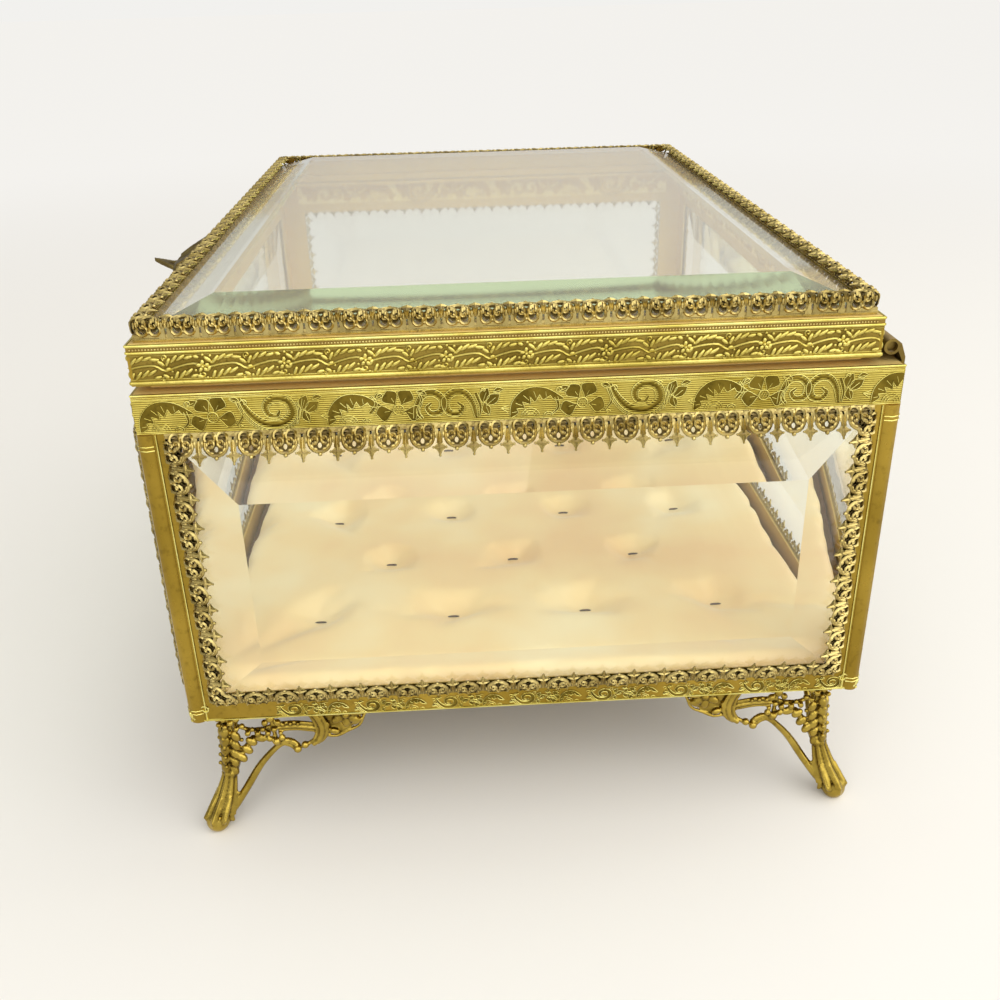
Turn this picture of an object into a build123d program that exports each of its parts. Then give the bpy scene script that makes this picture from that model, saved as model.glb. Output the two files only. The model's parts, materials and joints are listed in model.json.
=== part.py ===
"""A glass casket box for keepsakes: bevelled glass panes in gilt brass frames, with pierced
galleries, a hinged glass lid, a tufted pad and four openwork feet. Sizes are in millimetres.

X runs along the box, the hinge is at +Y and the thumb tab at -Y, and Z is up. The origin is on
the table, under the middle of the space that the closed box takes up."""

from build123d import *
from math import cos, radians, sqrt, tan
import os

os.makedirs("parts", exist_ok=True)

# the case: four window frames folded from sheet
case_length = 196.0
case_width = 140.0
body_height = 72.2
foot_height = 30.0
frame_sheet = 0.8
top_band = 7.6  # frame that shows above a pane's gallery
post_width = 5.0  # beside it
bottom_band = 5.1  # and below it
ledge_width = 6.5  # folded in at the top, under the lid
seat_width = 6.0  # folded in at the bottom, under the base plate

# bevelled plate glass
glass_thickness = 5.2
glass_edge = 1.2
bevel_width = 11.7
pane_overlap = 2.0  # how far a pane covers the frame round its window
glass_clearance = 0.2  # from a pane's edge to the wall of its gallery

# pierced galleries round the panes
gallery_sheet = 0.5
gallery_stand = 1.6
gallery_face = 5.45
gallery_tilt = 21.0
gallery_pitch = 6.1
scallop_radius = 2.1

# the lid: a hollow band with a glass seat on top and a collar under it
lid_gap = 1.4
lid_band_height = 7.7
lid_end_inset = 0.6
lid_front_inset = 0.5
lid_back_inset = 4.7
lid_edge_chamfer = 0.5
lid_seat_width = 4.5
collar_inset = 2.5
collar_clearance = 0.3
beaded_ledge = 1.2  # left outside the lid's gallery
lid_gallery_height = 3.7
lid_gallery_fold = 4.0

# hinge
hinge_axis_inset = 2.1  # from the back face of the case
hinge_axis_rise = 2.8  # above the top of the case
hinge_end_inset = 2.0  # from each end of the case
knuckle_count = 5
knuckle_gap = 0.3
knuckle_radius = 1.5
pin_radius = 0.95
pin_clearance = 0.05
pin_recess = 1.0  # how far the pin stops short of the end knuckles
leaf_sheet = 0.6
body_leaf_drop = 5.7
body_leaf_rise = 0.8
lid_leaf_foot = 1.5  # lower edge above the hinge axis
lid_leaf_height = 3.8

# thumb tab
tab_reach = 19.5
tab_leaf_width = 7.6
tab_leaf_thickness = 1.2
tab_leaf_rise = 2.1  # from the end of the boss up to the tip
tab_root_width = 20.0
tab_root_height = 4.2
tab_root_lift = 0.8  # above the lid's lower edge
tab_boss_width = 26.0
tab_boss_reach = 13.6
tab_wing_reach = 11.0  # of the boss's two outer corners
tab_boss_end = 3.0  # its height at the outer end
tab_dip = 2.3  # how far it hangs below the lid there

# base, card and pad
plate_sheet = 0.6
plate_clearance = 0.2
card_thickness = 1.5
card_clearance = 0.5
pad_clearance = 0.7
pad_side = 3.4  # height of the pad's upright edge
pad_shoulder = 2.6  # radius where the edge rolls over
pad_crown = 1.5
pad_draw = 0.9  # how far each side pulls in between its corners
tuft_pitch_x = 48.0
tuft_pitch_y = 30.0
tuft_depth = 2.6
tuft_curve = 9.0
stitch_length = 2.4
stitch_width = 0.5
stitch_thickness = 0.4
stitch_clearance = 0.1

# feet
foot_inset = 4.0  # from the case's faces to the outer face of each wing
wing_thickness = 1.8
toe_radius = 2.6
toe_inset = 1.2
toe_flat = 0.5
brace_width = 1.5

# levels, places and half sizes worked out from the sizes above
half_length = case_length / 2
half_width = case_width / 2
case_bottom = foot_height
case_top = case_bottom + body_height
lid_bottom = case_top + lid_gap
lid_top = lid_bottom + lid_band_height
overall_height = lid_top + glass_thickness
front_reach = half_width - lid_front_inset + tab_reach
back_reach = half_width + glass_thickness
case_y = (front_reach - back_reach) / 2
lid_half_length = half_length - lid_end_inset
lid_half_width = half_width - (lid_front_inset + lid_back_inset) / 2
lid_y = case_y - (lid_back_inset - lid_front_inset) / 2
plate_bottom = case_bottom + frame_sheet
card_bottom = plate_bottom + plate_sheet
pad_bottom = card_bottom + card_thickness
pad_top = pad_bottom + pad_side + pad_shoulder + pad_crown
hinge_length = case_length - 2 * hinge_end_inset
hinge_out = half_width - hinge_axis_inset
hinge_up = case_top + hinge_axis_rise

up = Vector(0, 0, 1)


class Run:
    """One side of a rectangle that a strip or a wall follows. side points from the middle of
    the rectangle to it, reach is how far away it is, and rise is the way that it stands up."""

    def __init__(self, name, centre, side, rise, reach, half_run):
        self.name = name
        self.reach = reach
        self.half_run = half_run
        self.section = Plane(origin=centre, x_dir=side, z_dir=side.cross(rise))
        self.plan = Plane(origin=centre, x_dir=side.cross(rise), z_dir=rise)
        self.face = Plane(origin=centre + side * reach, x_dir=rise.cross(side), z_dir=side)


def walls(centre_y, reach_x, reach_y):
    """The four upright sides of a box, named as seen by someone who opens it."""
    centre = Vector(0, centre_y, 0)
    return [
        Run("front", centre, Vector(0, -1, 0), up, reach_y, reach_x),
        Run("right", centre, Vector(1, 0, 0), up, reach_x, reach_y),
        Run("back", centre, Vector(0, 1, 0), up, reach_y, reach_x),
        Run("left", centre, Vector(-1, 0, 0), up, reach_x, reach_y),
    ]


def strip(run, profile, depth, bites=None):
    """Folded sheet with this profile along one run, mitred into its neighbours. bites gives
    the line and the length along which round bites are cut from a scalloped edge."""
    beyond = glass_thickness
    with BuildPart() as folded:
        with BuildSketch(run.section):
            with BuildLine():
                Polyline(*profile, close=True)
            make_face()
        extrude(amount=run.half_run + beyond, both=True)
        with BuildSketch(run.plan.offset(-overall_height)):
            with BuildLine():
                Polyline(
                    (run.half_run - depth, run.reach - depth),
                    (run.half_run + beyond, run.reach + beyond),
                    (-run.half_run - beyond, run.reach + beyond),
                    (depth - run.half_run, run.reach - depth),
                    close=True,
                )
            make_face()
            if bites:
                line, length = bites
                count = round(length / gallery_pitch)
                with Locations((0, line)):
                    with GridLocations(length / count, 0, count, 1):
                        Circle(scallop_radius, mode=Mode.SUBTRACT)
        extrude(amount=2 * overall_height, mode=Mode.INTERSECT)
    return folded


def finish(piece, name):
    """Label a finished piece and write it out."""
    piece.part.label = name
    export_step(piece.part, f"parts/{name}.step")


# panes, windows and galleries share one middle height
gallery_half_height = (body_height - top_band - bottom_band) / 2
pane_middle = case_bottom + bottom_band + gallery_half_height
pane_margin = gallery_sheet + glass_clearance


def gallery_half_run(wall):
    return wall.half_run - post_width


def frame(wall):
    """A window frame with a ledge folded in at the top and a seat at the bottom."""
    outer = wall.reach
    inner = outer - frame_sheet
    profile = [
        (outer, case_bottom),
        (outer, case_top),
        (outer - ledge_width, case_top),
        (outer - ledge_width, case_top - frame_sheet),
        (inner, case_top - frame_sheet),
        (inner, case_bottom + frame_sheet),
        (outer - seat_width, case_bottom + frame_sheet),
        (outer - seat_width, case_bottom),
    ]
    window_inset = pane_margin + pane_overlap
    with BuildPart() as window_frame:
        add(strip(wall, profile, ledge_width).part)
        with BuildSketch(wall.face):
            with Locations((0, pane_middle)):
                Rectangle(
                    2 * (gallery_half_run(wall) - window_inset),
                    2 * (gallery_half_height - window_inset),
                )
        extrude(amount=-frame_sheet, mode=Mode.SUBTRACT)
    finish(window_frame, f"frame_{wall.name}")


def bevelled_glass(plane, length, width):
    """Plate glass with its outer face bevelled down to a thin edge all round."""
    with BuildPart() as glass:
        with BuildSketch(plane):
            Rectangle(length, width)
        extrude(amount=glass_edge)
        with BuildSketch(plane.offset(glass_edge)):
            Rectangle(length, width)
        with BuildSketch(plane.offset(glass_thickness)):
            Rectangle(length - 2 * bevel_width, width - 2 * bevel_width)
        loft(ruled=True)
    return glass


def pane(wall):
    middle = wall.face.origin + up * pane_middle
    seat = Plane(origin=middle, x_dir=wall.face.x_dir, z_dir=wall.face.z_dir)
    glass = bevelled_glass(
        seat,
        2 * (gallery_half_run(wall) - pane_margin),
        2 * (gallery_half_height - pane_margin),
    )
    finish(glass, f"pane_{wall.name}")


def pane_gallery(wall):
    """Four strips round a pane. Each stands up from the frame and leans in over the bevel."""
    out = wall.face.z_dir
    middle = wall.face.origin + up * pane_middle
    across = wall.face.x_dir
    half_run = gallery_half_run(wall)
    lean = tan(radians(gallery_tilt))
    sloped_sheet = gallery_sheet / cos(radians(gallery_tilt))
    face_width = gallery_face * cos(radians(gallery_tilt))
    runs = [
        Run("top", middle, up, out, gallery_half_height, half_run),
        Run("bottom", middle, up * -1, out, gallery_half_height, half_run),
        Run("right", middle, across, out, half_run, gallery_half_height),
        Run("left", middle, across * -1, out, half_run, gallery_half_height),
    ]
    for run in runs:
        outer = run.reach
        tip = outer - face_width
        profile = [
            (outer, 0),
            (outer, gallery_stand),
            (tip, gallery_stand + face_width * lean),
            (tip, gallery_stand + face_width * lean - sloped_sheet),
            (outer - gallery_sheet, gallery_stand + gallery_sheet * lean - sloped_sheet),
            (outer - gallery_sheet, 0),
        ]
        gallery = strip(run, profile, face_width, bites=(tip, 2 * run.half_run))
        finish(gallery, f"gallery_{wall.name}_{run.name}")


for wall in walls(case_y, half_length, half_width):
    frame(wall)
    pane(wall)
    pane_gallery(wall)

# base plate, on the seats of the four frames
with BuildPart() as base_plate:
    with BuildSketch(Plane((0, case_y, plate_bottom))):
        plate_inset = frame_sheet + plate_clearance
        Rectangle(case_length - 2 * plate_inset, case_width - 2 * plate_inset)
    extrude(amount=plate_sheet)
finish(base_plate, "base_plate")

# card that the pad is sewn to
with BuildPart() as pad_card:
    with BuildSketch(Plane((0, case_y, card_bottom))):
        card_inset = frame_sheet + card_clearance
        Rectangle(case_length - 2 * card_inset, case_width - 2 * card_inset)
    extrude(amount=card_thickness)
finish(pad_card, "pad_card")


def pad_section(half_span):
    """Upright edges, rolled shoulders and a low crown, from the pad's underside."""
    roll = pad_shoulder * (1 - sqrt(0.5))
    shoulder_top = pad_side + pad_shoulder
    with BuildSketch() as section:
        with BuildLine():
            Polyline((-half_span, pad_side), (-half_span, 0), (half_span, 0), (half_span, pad_side))
            for end in (-1, 1):
                ThreePointArc(
                    (end * half_span, pad_side),
                    (end * (half_span - roll), shoulder_top - roll),
                    (end * (half_span - pad_shoulder), shoulder_top),
                )
            ThreePointArc(
                (pad_shoulder - half_span, shoulder_top),
                (0, shoulder_top + pad_crown),
                (half_span - pad_shoulder, shoulder_top),
            )
        make_face()
    return section.sketch


pad_half_length = half_length - frame_sheet - pad_clearance
pad_half_width = half_width - frame_sheet - pad_clearance
pad_plane = Plane((0, case_y, pad_bottom))
tuft_grids = [
    GridLocations(tuft_pitch_x, tuft_pitch_y, 4, 4),
    GridLocations(tuft_pitch_x, tuft_pitch_y, 3, 3),
]


def crown_height(x, y):
    """How high the pad's top stands at a point, before it is tufted down."""
    heights = []
    for place, half_span in ((x, pad_half_length), (y, pad_half_width)):
        half_chord = half_span - pad_shoulder
        radius = (half_chord**2 + pad_crown**2) / (2 * pad_crown)
        heights.append(pad_top - radius + sqrt(radius**2 - place**2))
    return min(heights)


tufts = [(p.position.X, p.position.Y) for grid in tuft_grids for p in grid]

# tufted pad: drawn-in sides, a crown both ways and a dimple at each tuft
with BuildPart() as tufted_pad:
    with BuildSketch(pad_plane):
        with BuildLine():
            corners = [
                (pad_half_length, pad_half_width),
                (-pad_half_length, pad_half_width),
                (-pad_half_length, -pad_half_width),
                (pad_half_length, -pad_half_width),
            ]
            ThreePointArc(corners[0], (0, pad_half_width - pad_draw), corners[1])
            ThreePointArc(corners[1], (pad_draw - pad_half_length, 0), corners[2])
            ThreePointArc(corners[2], (0, pad_draw - pad_half_width), corners[3])
            ThreePointArc(corners[3], (pad_half_length - pad_draw, 0), corners[0])
        make_face()
    extrude(amount=pad_top - pad_bottom)
    across_plane = Plane(origin=pad_plane.origin, x_dir=(1, 0, 0), z_dir=(0, -1, 0))
    along_plane = Plane(origin=pad_plane.origin, x_dir=(0, 1, 0), z_dir=(1, 0, 0))
    extrude(
        across_plane * pad_section(pad_half_length),
        amount=case_width,
        both=True,
        mode=Mode.INTERSECT,
    )
    extrude(
        along_plane * pad_section(pad_half_width),
        amount=case_length,
        both=True,
        mode=Mode.INTERSECT,
    )
    dimples = [
        (x, case_y + y, crown_height(x, y) - tuft_depth + tuft_curve) for x, y in tufts
    ]
    with Locations(*dimples):
        Sphere(tuft_curve, mode=Mode.SUBTRACT)
finish(tufted_pad, "tufted_pad")

# a stitch at the bottom of each dimple
with BuildPart() as tuft_stitches:
    stitch_places = [
        (x, case_y + y, crown_height(x, y) - tuft_depth + stitch_clearance) for x, y in tufts
    ]
    with Locations(*stitch_places):
        Box(
            stitch_width,
            stitch_length,
            stitch_thickness,
            align=(Align.CENTER, Align.CENTER, Align.MIN),
        )
finish(tuft_stitches, "tuft_stitches")


def wing_outline():
    """One wing of a foot, from the case's corner at x = 0 inwards and from its underside down."""
    with BuildSketch() as wing:
        # stem, with the curl that braces the arm
        with BuildLine():
            Polyline(
                (6.1, -21), (3.8, -21), (3.8, 0), (8.6, 0), (8.4, -5), (9.4, -5), (10.8, -9)
            )
            ThreePointArc((10.8, -9), (7.2, -13), (6.1, -21))
        make_face()
        # arm of flowers, with a cluster that reaches up to the case
        with BuildLine():
            Polyline((24.5, -6.4), (24, -4), (8, -5), (8, -9.2), (13.5, -9.4))
            ThreePointArc((13.5, -9.4), (15.2, -10.3), (16.6, -9.4))
            Line((16.6, -9.4), (17.8, -7))
            Line((17.8, -7), (24.5, -6.4))
        make_face()
        with Locations((15.2, -2.4)):
            Circle(2.4)
        # scroll and shell at the inner end
        with BuildLine():
            Line((22.3, 0), (35.4, 0))
            ThreePointArc((35.4, 0), (36, -2.4), (34.9, -4.4))
            ThreePointArc((34.9, -4.4), (34, -6.9), (31.2, -8.3))
            ThreePointArc((31.2, -8.3), (29, -9.7), (26.4, -9.3))
            Polyline((26.4, -9.3), (23.2, -11.3), (22.4, -9.7))
            ThreePointArc((22.4, -9.7), (24.5, -5.6), (22.3, -1.8))
            Line((22.3, -1.8), (22.3, 0))
        make_face()
        # long brace from a ball-tipped curl down to the toe
        with BuildLine():
            ThreePointArc((20, -11.8), (18.9, -10.2), (16.8, -10.1))
            ThreePointArc((16.8, -10.1), (11.2, -15.6), (4.6, -26))
        trace(line_width=brace_width)
        with Locations((20, -11.8)):
            Circle(1.1)
    return wing.sketch


def foot(name, side_x, side_y):
    """Two openwork wings that meet over a leg, which leans out to a ball toe."""
    corner = Vector(side_x * half_length, case_y + side_y * half_width, case_bottom)
    to_middle_x = Vector(-side_x, 0, 0)
    to_middle_y = Vector(0, -side_y, 0)
    wing_depth = foot_inset + wing_thickness / 2
    wings = [(to_middle_x, to_middle_y), (to_middle_y, to_middle_x)]
    # drop below the case, inset from its faces and radius of the leg
    leg_rings = [
        (foot_height - 18.5, foot_inset + 1.2, 1.7),
        (foot_height - 12.0, foot_inset + 0.6, 1.6),
        (foot_height - 7.0, toe_inset + 1.9, 2.0),
        (foot_height - toe_radius, toe_inset, 2.4),
    ]
    toe = corner + (to_middle_x + to_middle_y) * toe_inset - up * (foot_height - toe_radius + toe_flat)
    with BuildPart() as openwork:
        for inward, across in wings:
            plane = Plane(
                origin=corner + across * wing_depth, x_dir=inward, z_dir=inward.cross(up)
            )
            extrude(plane * wing_outline(), amount=wing_thickness / 2, both=True)
    with BuildPart() as whole:
        add(openwork.part)
        for drop, inset, radius in leg_rings:
            centre = corner + (to_middle_x + to_middle_y) * inset - up * drop
            with BuildSketch(Plane(centre)):
                Circle(radius)
        loft()
        with Locations(toe):
            Sphere(toe_radius)
        split(bisect_by=Plane.XY, keep=Keep.TOP)
    finish(whole, name)


foot("foot_front_left", -1, -1)
foot("foot_front_right", 1, -1)
foot("foot_back_left", -1, 1)
foot("foot_back_right", 1, 1)


def lid_rail(wall):
    """A hollow band with a chamfered top edge, a seat for the glass and a collar below."""
    outer = wall.reach
    inner = outer - frame_sheet
    collar_outer = outer - collar_inset
    collar_inner = collar_outer - frame_sheet
    profile = [
        (outer, lid_bottom),
        (outer, lid_top - lid_edge_chamfer),
        (outer - lid_edge_chamfer, lid_top),
        (outer - lid_seat_width, lid_top),
        (outer - lid_seat_width, lid_top - frame_sheet),
        (inner, lid_top - frame_sheet),
        (inner, lid_bottom + frame_sheet),
        (collar_inner, lid_bottom + frame_sheet),
        (collar_inner, case_top + collar_clearance),
        (collar_outer, case_top + collar_clearance),
        (collar_outer, lid_bottom),
    ]
    finish(strip(wall, profile, lid_seat_width), f"lid_rail_{wall.name}")


def lid_gallery(wall):
    """A pierced strip that stands on the rail and folds in over the glass."""
    outer = wall.reach - beaded_ledge
    top = lid_top + lid_gallery_height
    tip = outer - lid_gallery_fold
    profile = [
        (outer, lid_top),
        (outer, top),
        (tip, top),
        (tip, top - gallery_sheet),
        (outer - gallery_sheet, top - gallery_sheet),
        (outer - gallery_sheet, lid_top),
    ]
    scalloped_length = 2 * (wall.half_run - beaded_ledge)
    gallery = strip(wall, profile, lid_seat_width + beaded_ledge, bites=(tip, scalloped_length))
    finish(gallery, f"lid_gallery_{wall.name}")


for wall in walls(lid_y, lid_half_length, lid_half_width):
    lid_rail(wall)
    lid_gallery(wall)

lid_glass_inset = beaded_ledge + gallery_sheet + glass_clearance
lid_glass = bevelled_glass(
    Plane((0, lid_y, lid_top)),
    2 * (lid_half_length - lid_glass_inset),
    2 * (lid_half_width - lid_glass_inset),
)
finish(lid_glass, "lid_glass")

# hinge: a tube in five knuckles, turn about on the case and the lid
bore_radius = pin_radius + pin_clearance
knuckle_length = (hinge_length - (knuckle_count - 1) * knuckle_gap) / knuckle_count
knuckle_step = knuckle_length + knuckle_gap
back = walls(case_y, half_length, half_width)[2]
lid_back_out = half_width - lid_back_inset
strap_outer = hinge_out + knuckle_radius + 0.2
body_leaf_top = case_top + body_leaf_rise

body_leaf_section = [
    (half_width, case_top - body_leaf_drop),
    (half_width + leaf_sheet, case_top - body_leaf_drop),
    (half_width + leaf_sheet, body_leaf_top),
    (half_width, body_leaf_top),
]
body_strap_section = [
    (half_width, body_leaf_top - leaf_sheet),
    (half_width + leaf_sheet, body_leaf_top),
    (strap_outer, hinge_up + leaf_sheet),
    (hinge_out, hinge_up),
    (strap_outer - leaf_sheet, hinge_up - leaf_sheet),
]
lid_leaf_section = [
    (lid_back_out, hinge_up + lid_leaf_foot),
    (lid_back_out + leaf_sheet, hinge_up + lid_leaf_foot),
    (lid_back_out + leaf_sheet, hinge_up + lid_leaf_foot + lid_leaf_height),
    (lid_back_out, hinge_up + lid_leaf_foot + lid_leaf_height),
]
lid_strap_section = [
    (lid_back_out, hinge_up + knuckle_radius - leaf_sheet),
    (hinge_out, hinge_up + knuckle_radius - leaf_sheet),
    (hinge_out, hinge_up + knuckle_radius),
    (lid_back_out + leaf_sheet, hinge_up + knuckle_radius + leaf_sheet / 2),
    (lid_back_out, hinge_up + knuckle_radius + leaf_sheet / 2),
]


def outline(points):
    with BuildSketch() as shape:
        with BuildLine():
            Polyline(*points, close=True)
        make_face()
    return shape.sketch


def knuckle_section(points):
    """A knuckle's tube with the strap that ties it to its leaf."""
    with BuildSketch() as shape:
        with Locations((hinge_out, hinge_up)):
            Circle(knuckle_radius)
        add(outline(points))
        with Locations((hinge_out, hinge_up)):
            Circle(bore_radius, mode=Mode.SUBTRACT)
    return shape.sketch


def hinge_leaf(name, leaf_points, strap_points, knuckles):
    """A long leaf with a knuckle at each place in knuckles, counted from the left end."""
    with BuildPart() as leaf:
        extrude(back.section * outline(leaf_points), amount=hinge_length / 2, both=True)
        for number in knuckles:
            middle = (number - (knuckle_count - 1) / 2) * knuckle_step
            plane = back.section.offset(middle)
            extrude(plane * knuckle_section(strap_points), amount=knuckle_length / 2, both=True)
    finish(leaf, name)


hinge_leaf("hinge_leaf_body", body_leaf_section, body_strap_section, range(0, knuckle_count, 2))
hinge_leaf("hinge_leaf_lid", lid_leaf_section, lid_strap_section, range(1, knuckle_count, 2))

with BuildPart() as hinge_pin:
    with BuildSketch(back.section):
        with Locations((hinge_out, hinge_up)):
            Circle(pin_radius)
    extrude(amount=hinge_length / 2 - pin_recess, both=True)
finish(hinge_pin, "hinge_pin")

# thumb tab: a boss that fans out and down from the front of the lid, with a pointed leaf
tab_section = [
    (0, tab_root_lift),
    (tab_boss_reach * 0.7, -tab_dip),
    (tab_boss_reach, -tab_dip),
    (tab_reach, tab_leaf_rise - tab_dip),
    (tab_reach, tab_leaf_rise + tab_leaf_thickness - tab_dip),
    (tab_boss_reach, tab_leaf_thickness - tab_dip),
    (tab_boss_reach * 0.96, tab_boss_end - tab_dip),
    (tab_boss_reach * 0.6, (tab_boss_end + tab_root_lift + tab_root_height - tab_dip) / 2 + 0.6),
    (0, tab_root_lift + tab_root_height),
]
tab_front = walls(lid_y, lid_half_length, lid_half_width)[0]
with BuildPart() as thumb_tab:
    with BuildSketch(Plane((0, lid_y - lid_half_width, lid_bottom))):
        with BuildLine():
            corner_x = tab_boss_width / 2
            Polyline(
                (corner_x, -tab_wing_reach),
                (tab_root_width / 2, 0),
                (-tab_root_width / 2, 0),
                (-corner_x, -tab_wing_reach),
            )
            ThreePointArc(
                (-corner_x, -tab_wing_reach), (0, -tab_boss_reach), (corner_x, -tab_wing_reach)
            )
        make_face()
        with BuildLine():
            leaf_root = -tab_boss_reach * 0.7
            for end in (-1, 1):
                ThreePointArc(
                    (end * tab_leaf_width / 2, leaf_root),
                    (end * tab_leaf_width * 0.36, (leaf_root - tab_reach) / 2),
                    (0, -tab_reach),
                )
            Line((-tab_leaf_width / 2, leaf_root), (tab_leaf_width / 2, leaf_root))
        make_face()
    extrude(amount=glass_thickness * 2, both=True)
    with BuildSketch(tab_front.section):
        with BuildLine():
            Polyline(*[(lid_half_width + out, lid_bottom + rise) for out, rise in tab_section], close=True)
        make_face()
    extrude(amount=tab_boss_width, both=True, mode=Mode.INTERSECT)
finish(thumb_tab, "thumb_tab")
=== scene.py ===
import json
import math

import bmesh
import bpy
from mathutils import Matrix, Vector


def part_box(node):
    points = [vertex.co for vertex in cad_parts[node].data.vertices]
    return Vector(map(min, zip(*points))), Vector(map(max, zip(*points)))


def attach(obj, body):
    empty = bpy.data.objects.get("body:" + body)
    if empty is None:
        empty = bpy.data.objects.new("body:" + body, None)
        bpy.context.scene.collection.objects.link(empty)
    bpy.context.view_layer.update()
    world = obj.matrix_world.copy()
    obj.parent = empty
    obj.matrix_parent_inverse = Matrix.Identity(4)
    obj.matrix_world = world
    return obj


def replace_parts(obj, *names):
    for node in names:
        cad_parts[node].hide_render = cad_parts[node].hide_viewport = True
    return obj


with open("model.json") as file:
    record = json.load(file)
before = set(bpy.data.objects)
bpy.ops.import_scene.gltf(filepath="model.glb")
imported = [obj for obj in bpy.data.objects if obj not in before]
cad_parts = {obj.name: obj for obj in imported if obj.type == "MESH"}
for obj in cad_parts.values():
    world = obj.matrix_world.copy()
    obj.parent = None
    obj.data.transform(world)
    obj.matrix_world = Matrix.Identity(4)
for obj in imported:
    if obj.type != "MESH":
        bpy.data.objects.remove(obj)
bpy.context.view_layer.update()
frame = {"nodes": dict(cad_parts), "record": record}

mm = 0.001
up = Vector((0, 0, 1))


# where the frame holds each piece, in millimetres
def boxOf(node):
    low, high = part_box(node)
    return Vector(low) / mm, Vector(high) / mm


caseLow, caseHigh = boxOf("frame_front")
caseHigh.y = boxOf("frame_back")[1].y
lidLow, lidHigh = boxOf("lid_rail_front")[0], boxOf("lid_rail_back")[1]
collarReach = 1.1  # the lid rail's box starts at its collar, this far below the band
lidBand = (lidLow.z + collarReach, lidHigh.z)
galleryLow, galleryHigh = boxOf("gallery_right_left")[0], boxOf("gallery_right_right")[1]


# picking, placing and joining

def letGo():
    if bpy.context.object and bpy.context.object.mode != "OBJECT":
        bpy.ops.object.mode_set(mode="OBJECT")
    bpy.ops.object.select_all(action="DESELECT")


def pick(*pieces):
    letGo()
    for piece in pieces:
        piece.select_set(True)
    bpy.context.view_layer.objects.active = pieces[0]


def joinUp(name, pieces):
    pick(*pieces)
    if len(pieces) > 1:
        bpy.ops.object.join()
    piece = bpy.context.object
    bpy.ops.object.transform_apply(location=True, rotation=True, scale=True)
    piece.name = piece.data.name = name
    return piece


def copyOf(piece, name):
    twin = piece.copy()
    twin.data = piece.data.copy()
    twin.name = twin.data.name = name
    bpy.context.collection.objects.link(twin)
    return twin


def paint(piece, material):
    piece.data.materials.clear()
    piece.data.materials.append(material)
    return piece


def drop(*pieces):
    for piece in pieces:
        bpy.data.objects.remove(piece)


def withModifier(piece, kind, **settings):
    pick(piece)
    modifier = piece.modifiers.new(kind.lower(), kind)
    for key, value in settings.items():
        setattr(modifier, key, value)
    bpy.ops.object.modifier_apply(modifier=modifier.name)
    return piece


def repeated(piece, count, step):
    if count < 2:
        return piece
    return withModifier(
        piece, "ARRAY", count=count, use_relative_offset=False,
        use_constant_offset=True, constant_offset_displace=(step, 0, 0),
    )


def smoothed(piece, sharpest=None):
    # facets blend, apart from edges that are sharper than a number of degrees
    pick(piece)
    if sharpest is None:
        bpy.ops.object.shade_smooth()
    else:
        bpy.ops.object.shade_smooth_by_angle(angle=math.radians(sharpest))
    return piece


def raised(piece, height):
    # gives a flat outline its thickness
    bpy.ops.object.mode_set(mode="EDIT")
    bpy.ops.mesh.select_all(action="SELECT")
    bpy.ops.mesh.extrude_region_move(TRANSFORM_OT_translate={"value": (0, 0, height)})
    bpy.ops.mesh.normals_make_consistent(inside=False)
    bpy.ops.object.mode_set(mode="OBJECT")
    return piece


def mirroredAt(length):
    # the matrix that turns a left end, which starts at nought, into the right end
    return Matrix.Translation((length, 0, 0)) @ Matrix.Scale(-1, 4, (1, 0, 0))


def wallsOf(low, high):
    # for each wall: which way is out, the middle of its foot, and half its length
    middle = (low + high) / 2
    halfX, halfY = high.x - middle.x, high.y - middle.y
    return {
        "front": (Vector((0, -1, 0)), Vector((middle.x, low.y, 0)), halfX),
        "right": (Vector((1, 0, 0)), Vector((high.x, middle.y, 0)), halfY),
        "back": (Vector((0, 1, 0)), Vector((middle.x, high.y, 0)), halfX),
        "left": (Vector((-1, 0, 0)), Vector((low.x, middle.y, 0)), halfY),
    }


def cutBeyond(piece, point, normal):
    # cuts off what lies past a plane and closes what it opened
    mesh = bmesh.new()
    mesh.from_mesh(piece.data)
    everything = mesh.verts[:] + mesh.edges[:] + mesh.faces[:]
    cut = bmesh.ops.bisect_plane(
        mesh, geom=everything, plane_co=point, plane_no=normal, clear_outer=True, dist=1e-4,
    )
    edges = [e for e in cut["geom_cut"] if isinstance(e, bmesh.types.BMEdge) and e.is_boundary]
    if edges:
        bmesh.ops.edgeloop_fill(mesh, edges=edges)
    mesh.to_mesh(piece.data)
    mesh.free()
    return piece


def setDown(piece, name, matrix, body):
    # puts a piece that was modelled in millimetres at its place in the frame
    piece.data.transform(matrix)
    if matrix.determinant() < 0:
        piece.data.flip_normals()
    piece.name = piece.data.name = name
    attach(piece, body)
    return piece


def axesAt(origin, along, inward, out):
    turn = Matrix((along, inward, out)).transposed().to_4x4()
    return Matrix.Scale(mm, 4) @ Matrix.Translation(origin) @ turn


# shapes that the ornament is drawn with, in millimetres

def ball(place, radius, stretch=(1, 1, 1), turn=0.0, rings=(8, 5)):
    bpy.ops.mesh.primitive_uv_sphere_add(
        segments=rings[0], ring_count=rings[1], radius=radius,
        location=place, rotation=(0, 0, turn), scale=stretch,
    )
    return bpy.context.object


def plate(outline, low, high):
    bpy.ops.mesh.primitive_circle_add(vertices=len(outline), fill_type="NGON")
    piece = bpy.context.object
    for vertex, (u, v) in zip(piece.data.vertices, outline):
        vertex.co = (u, v, low)
    return raised(piece, high - low)


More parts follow.
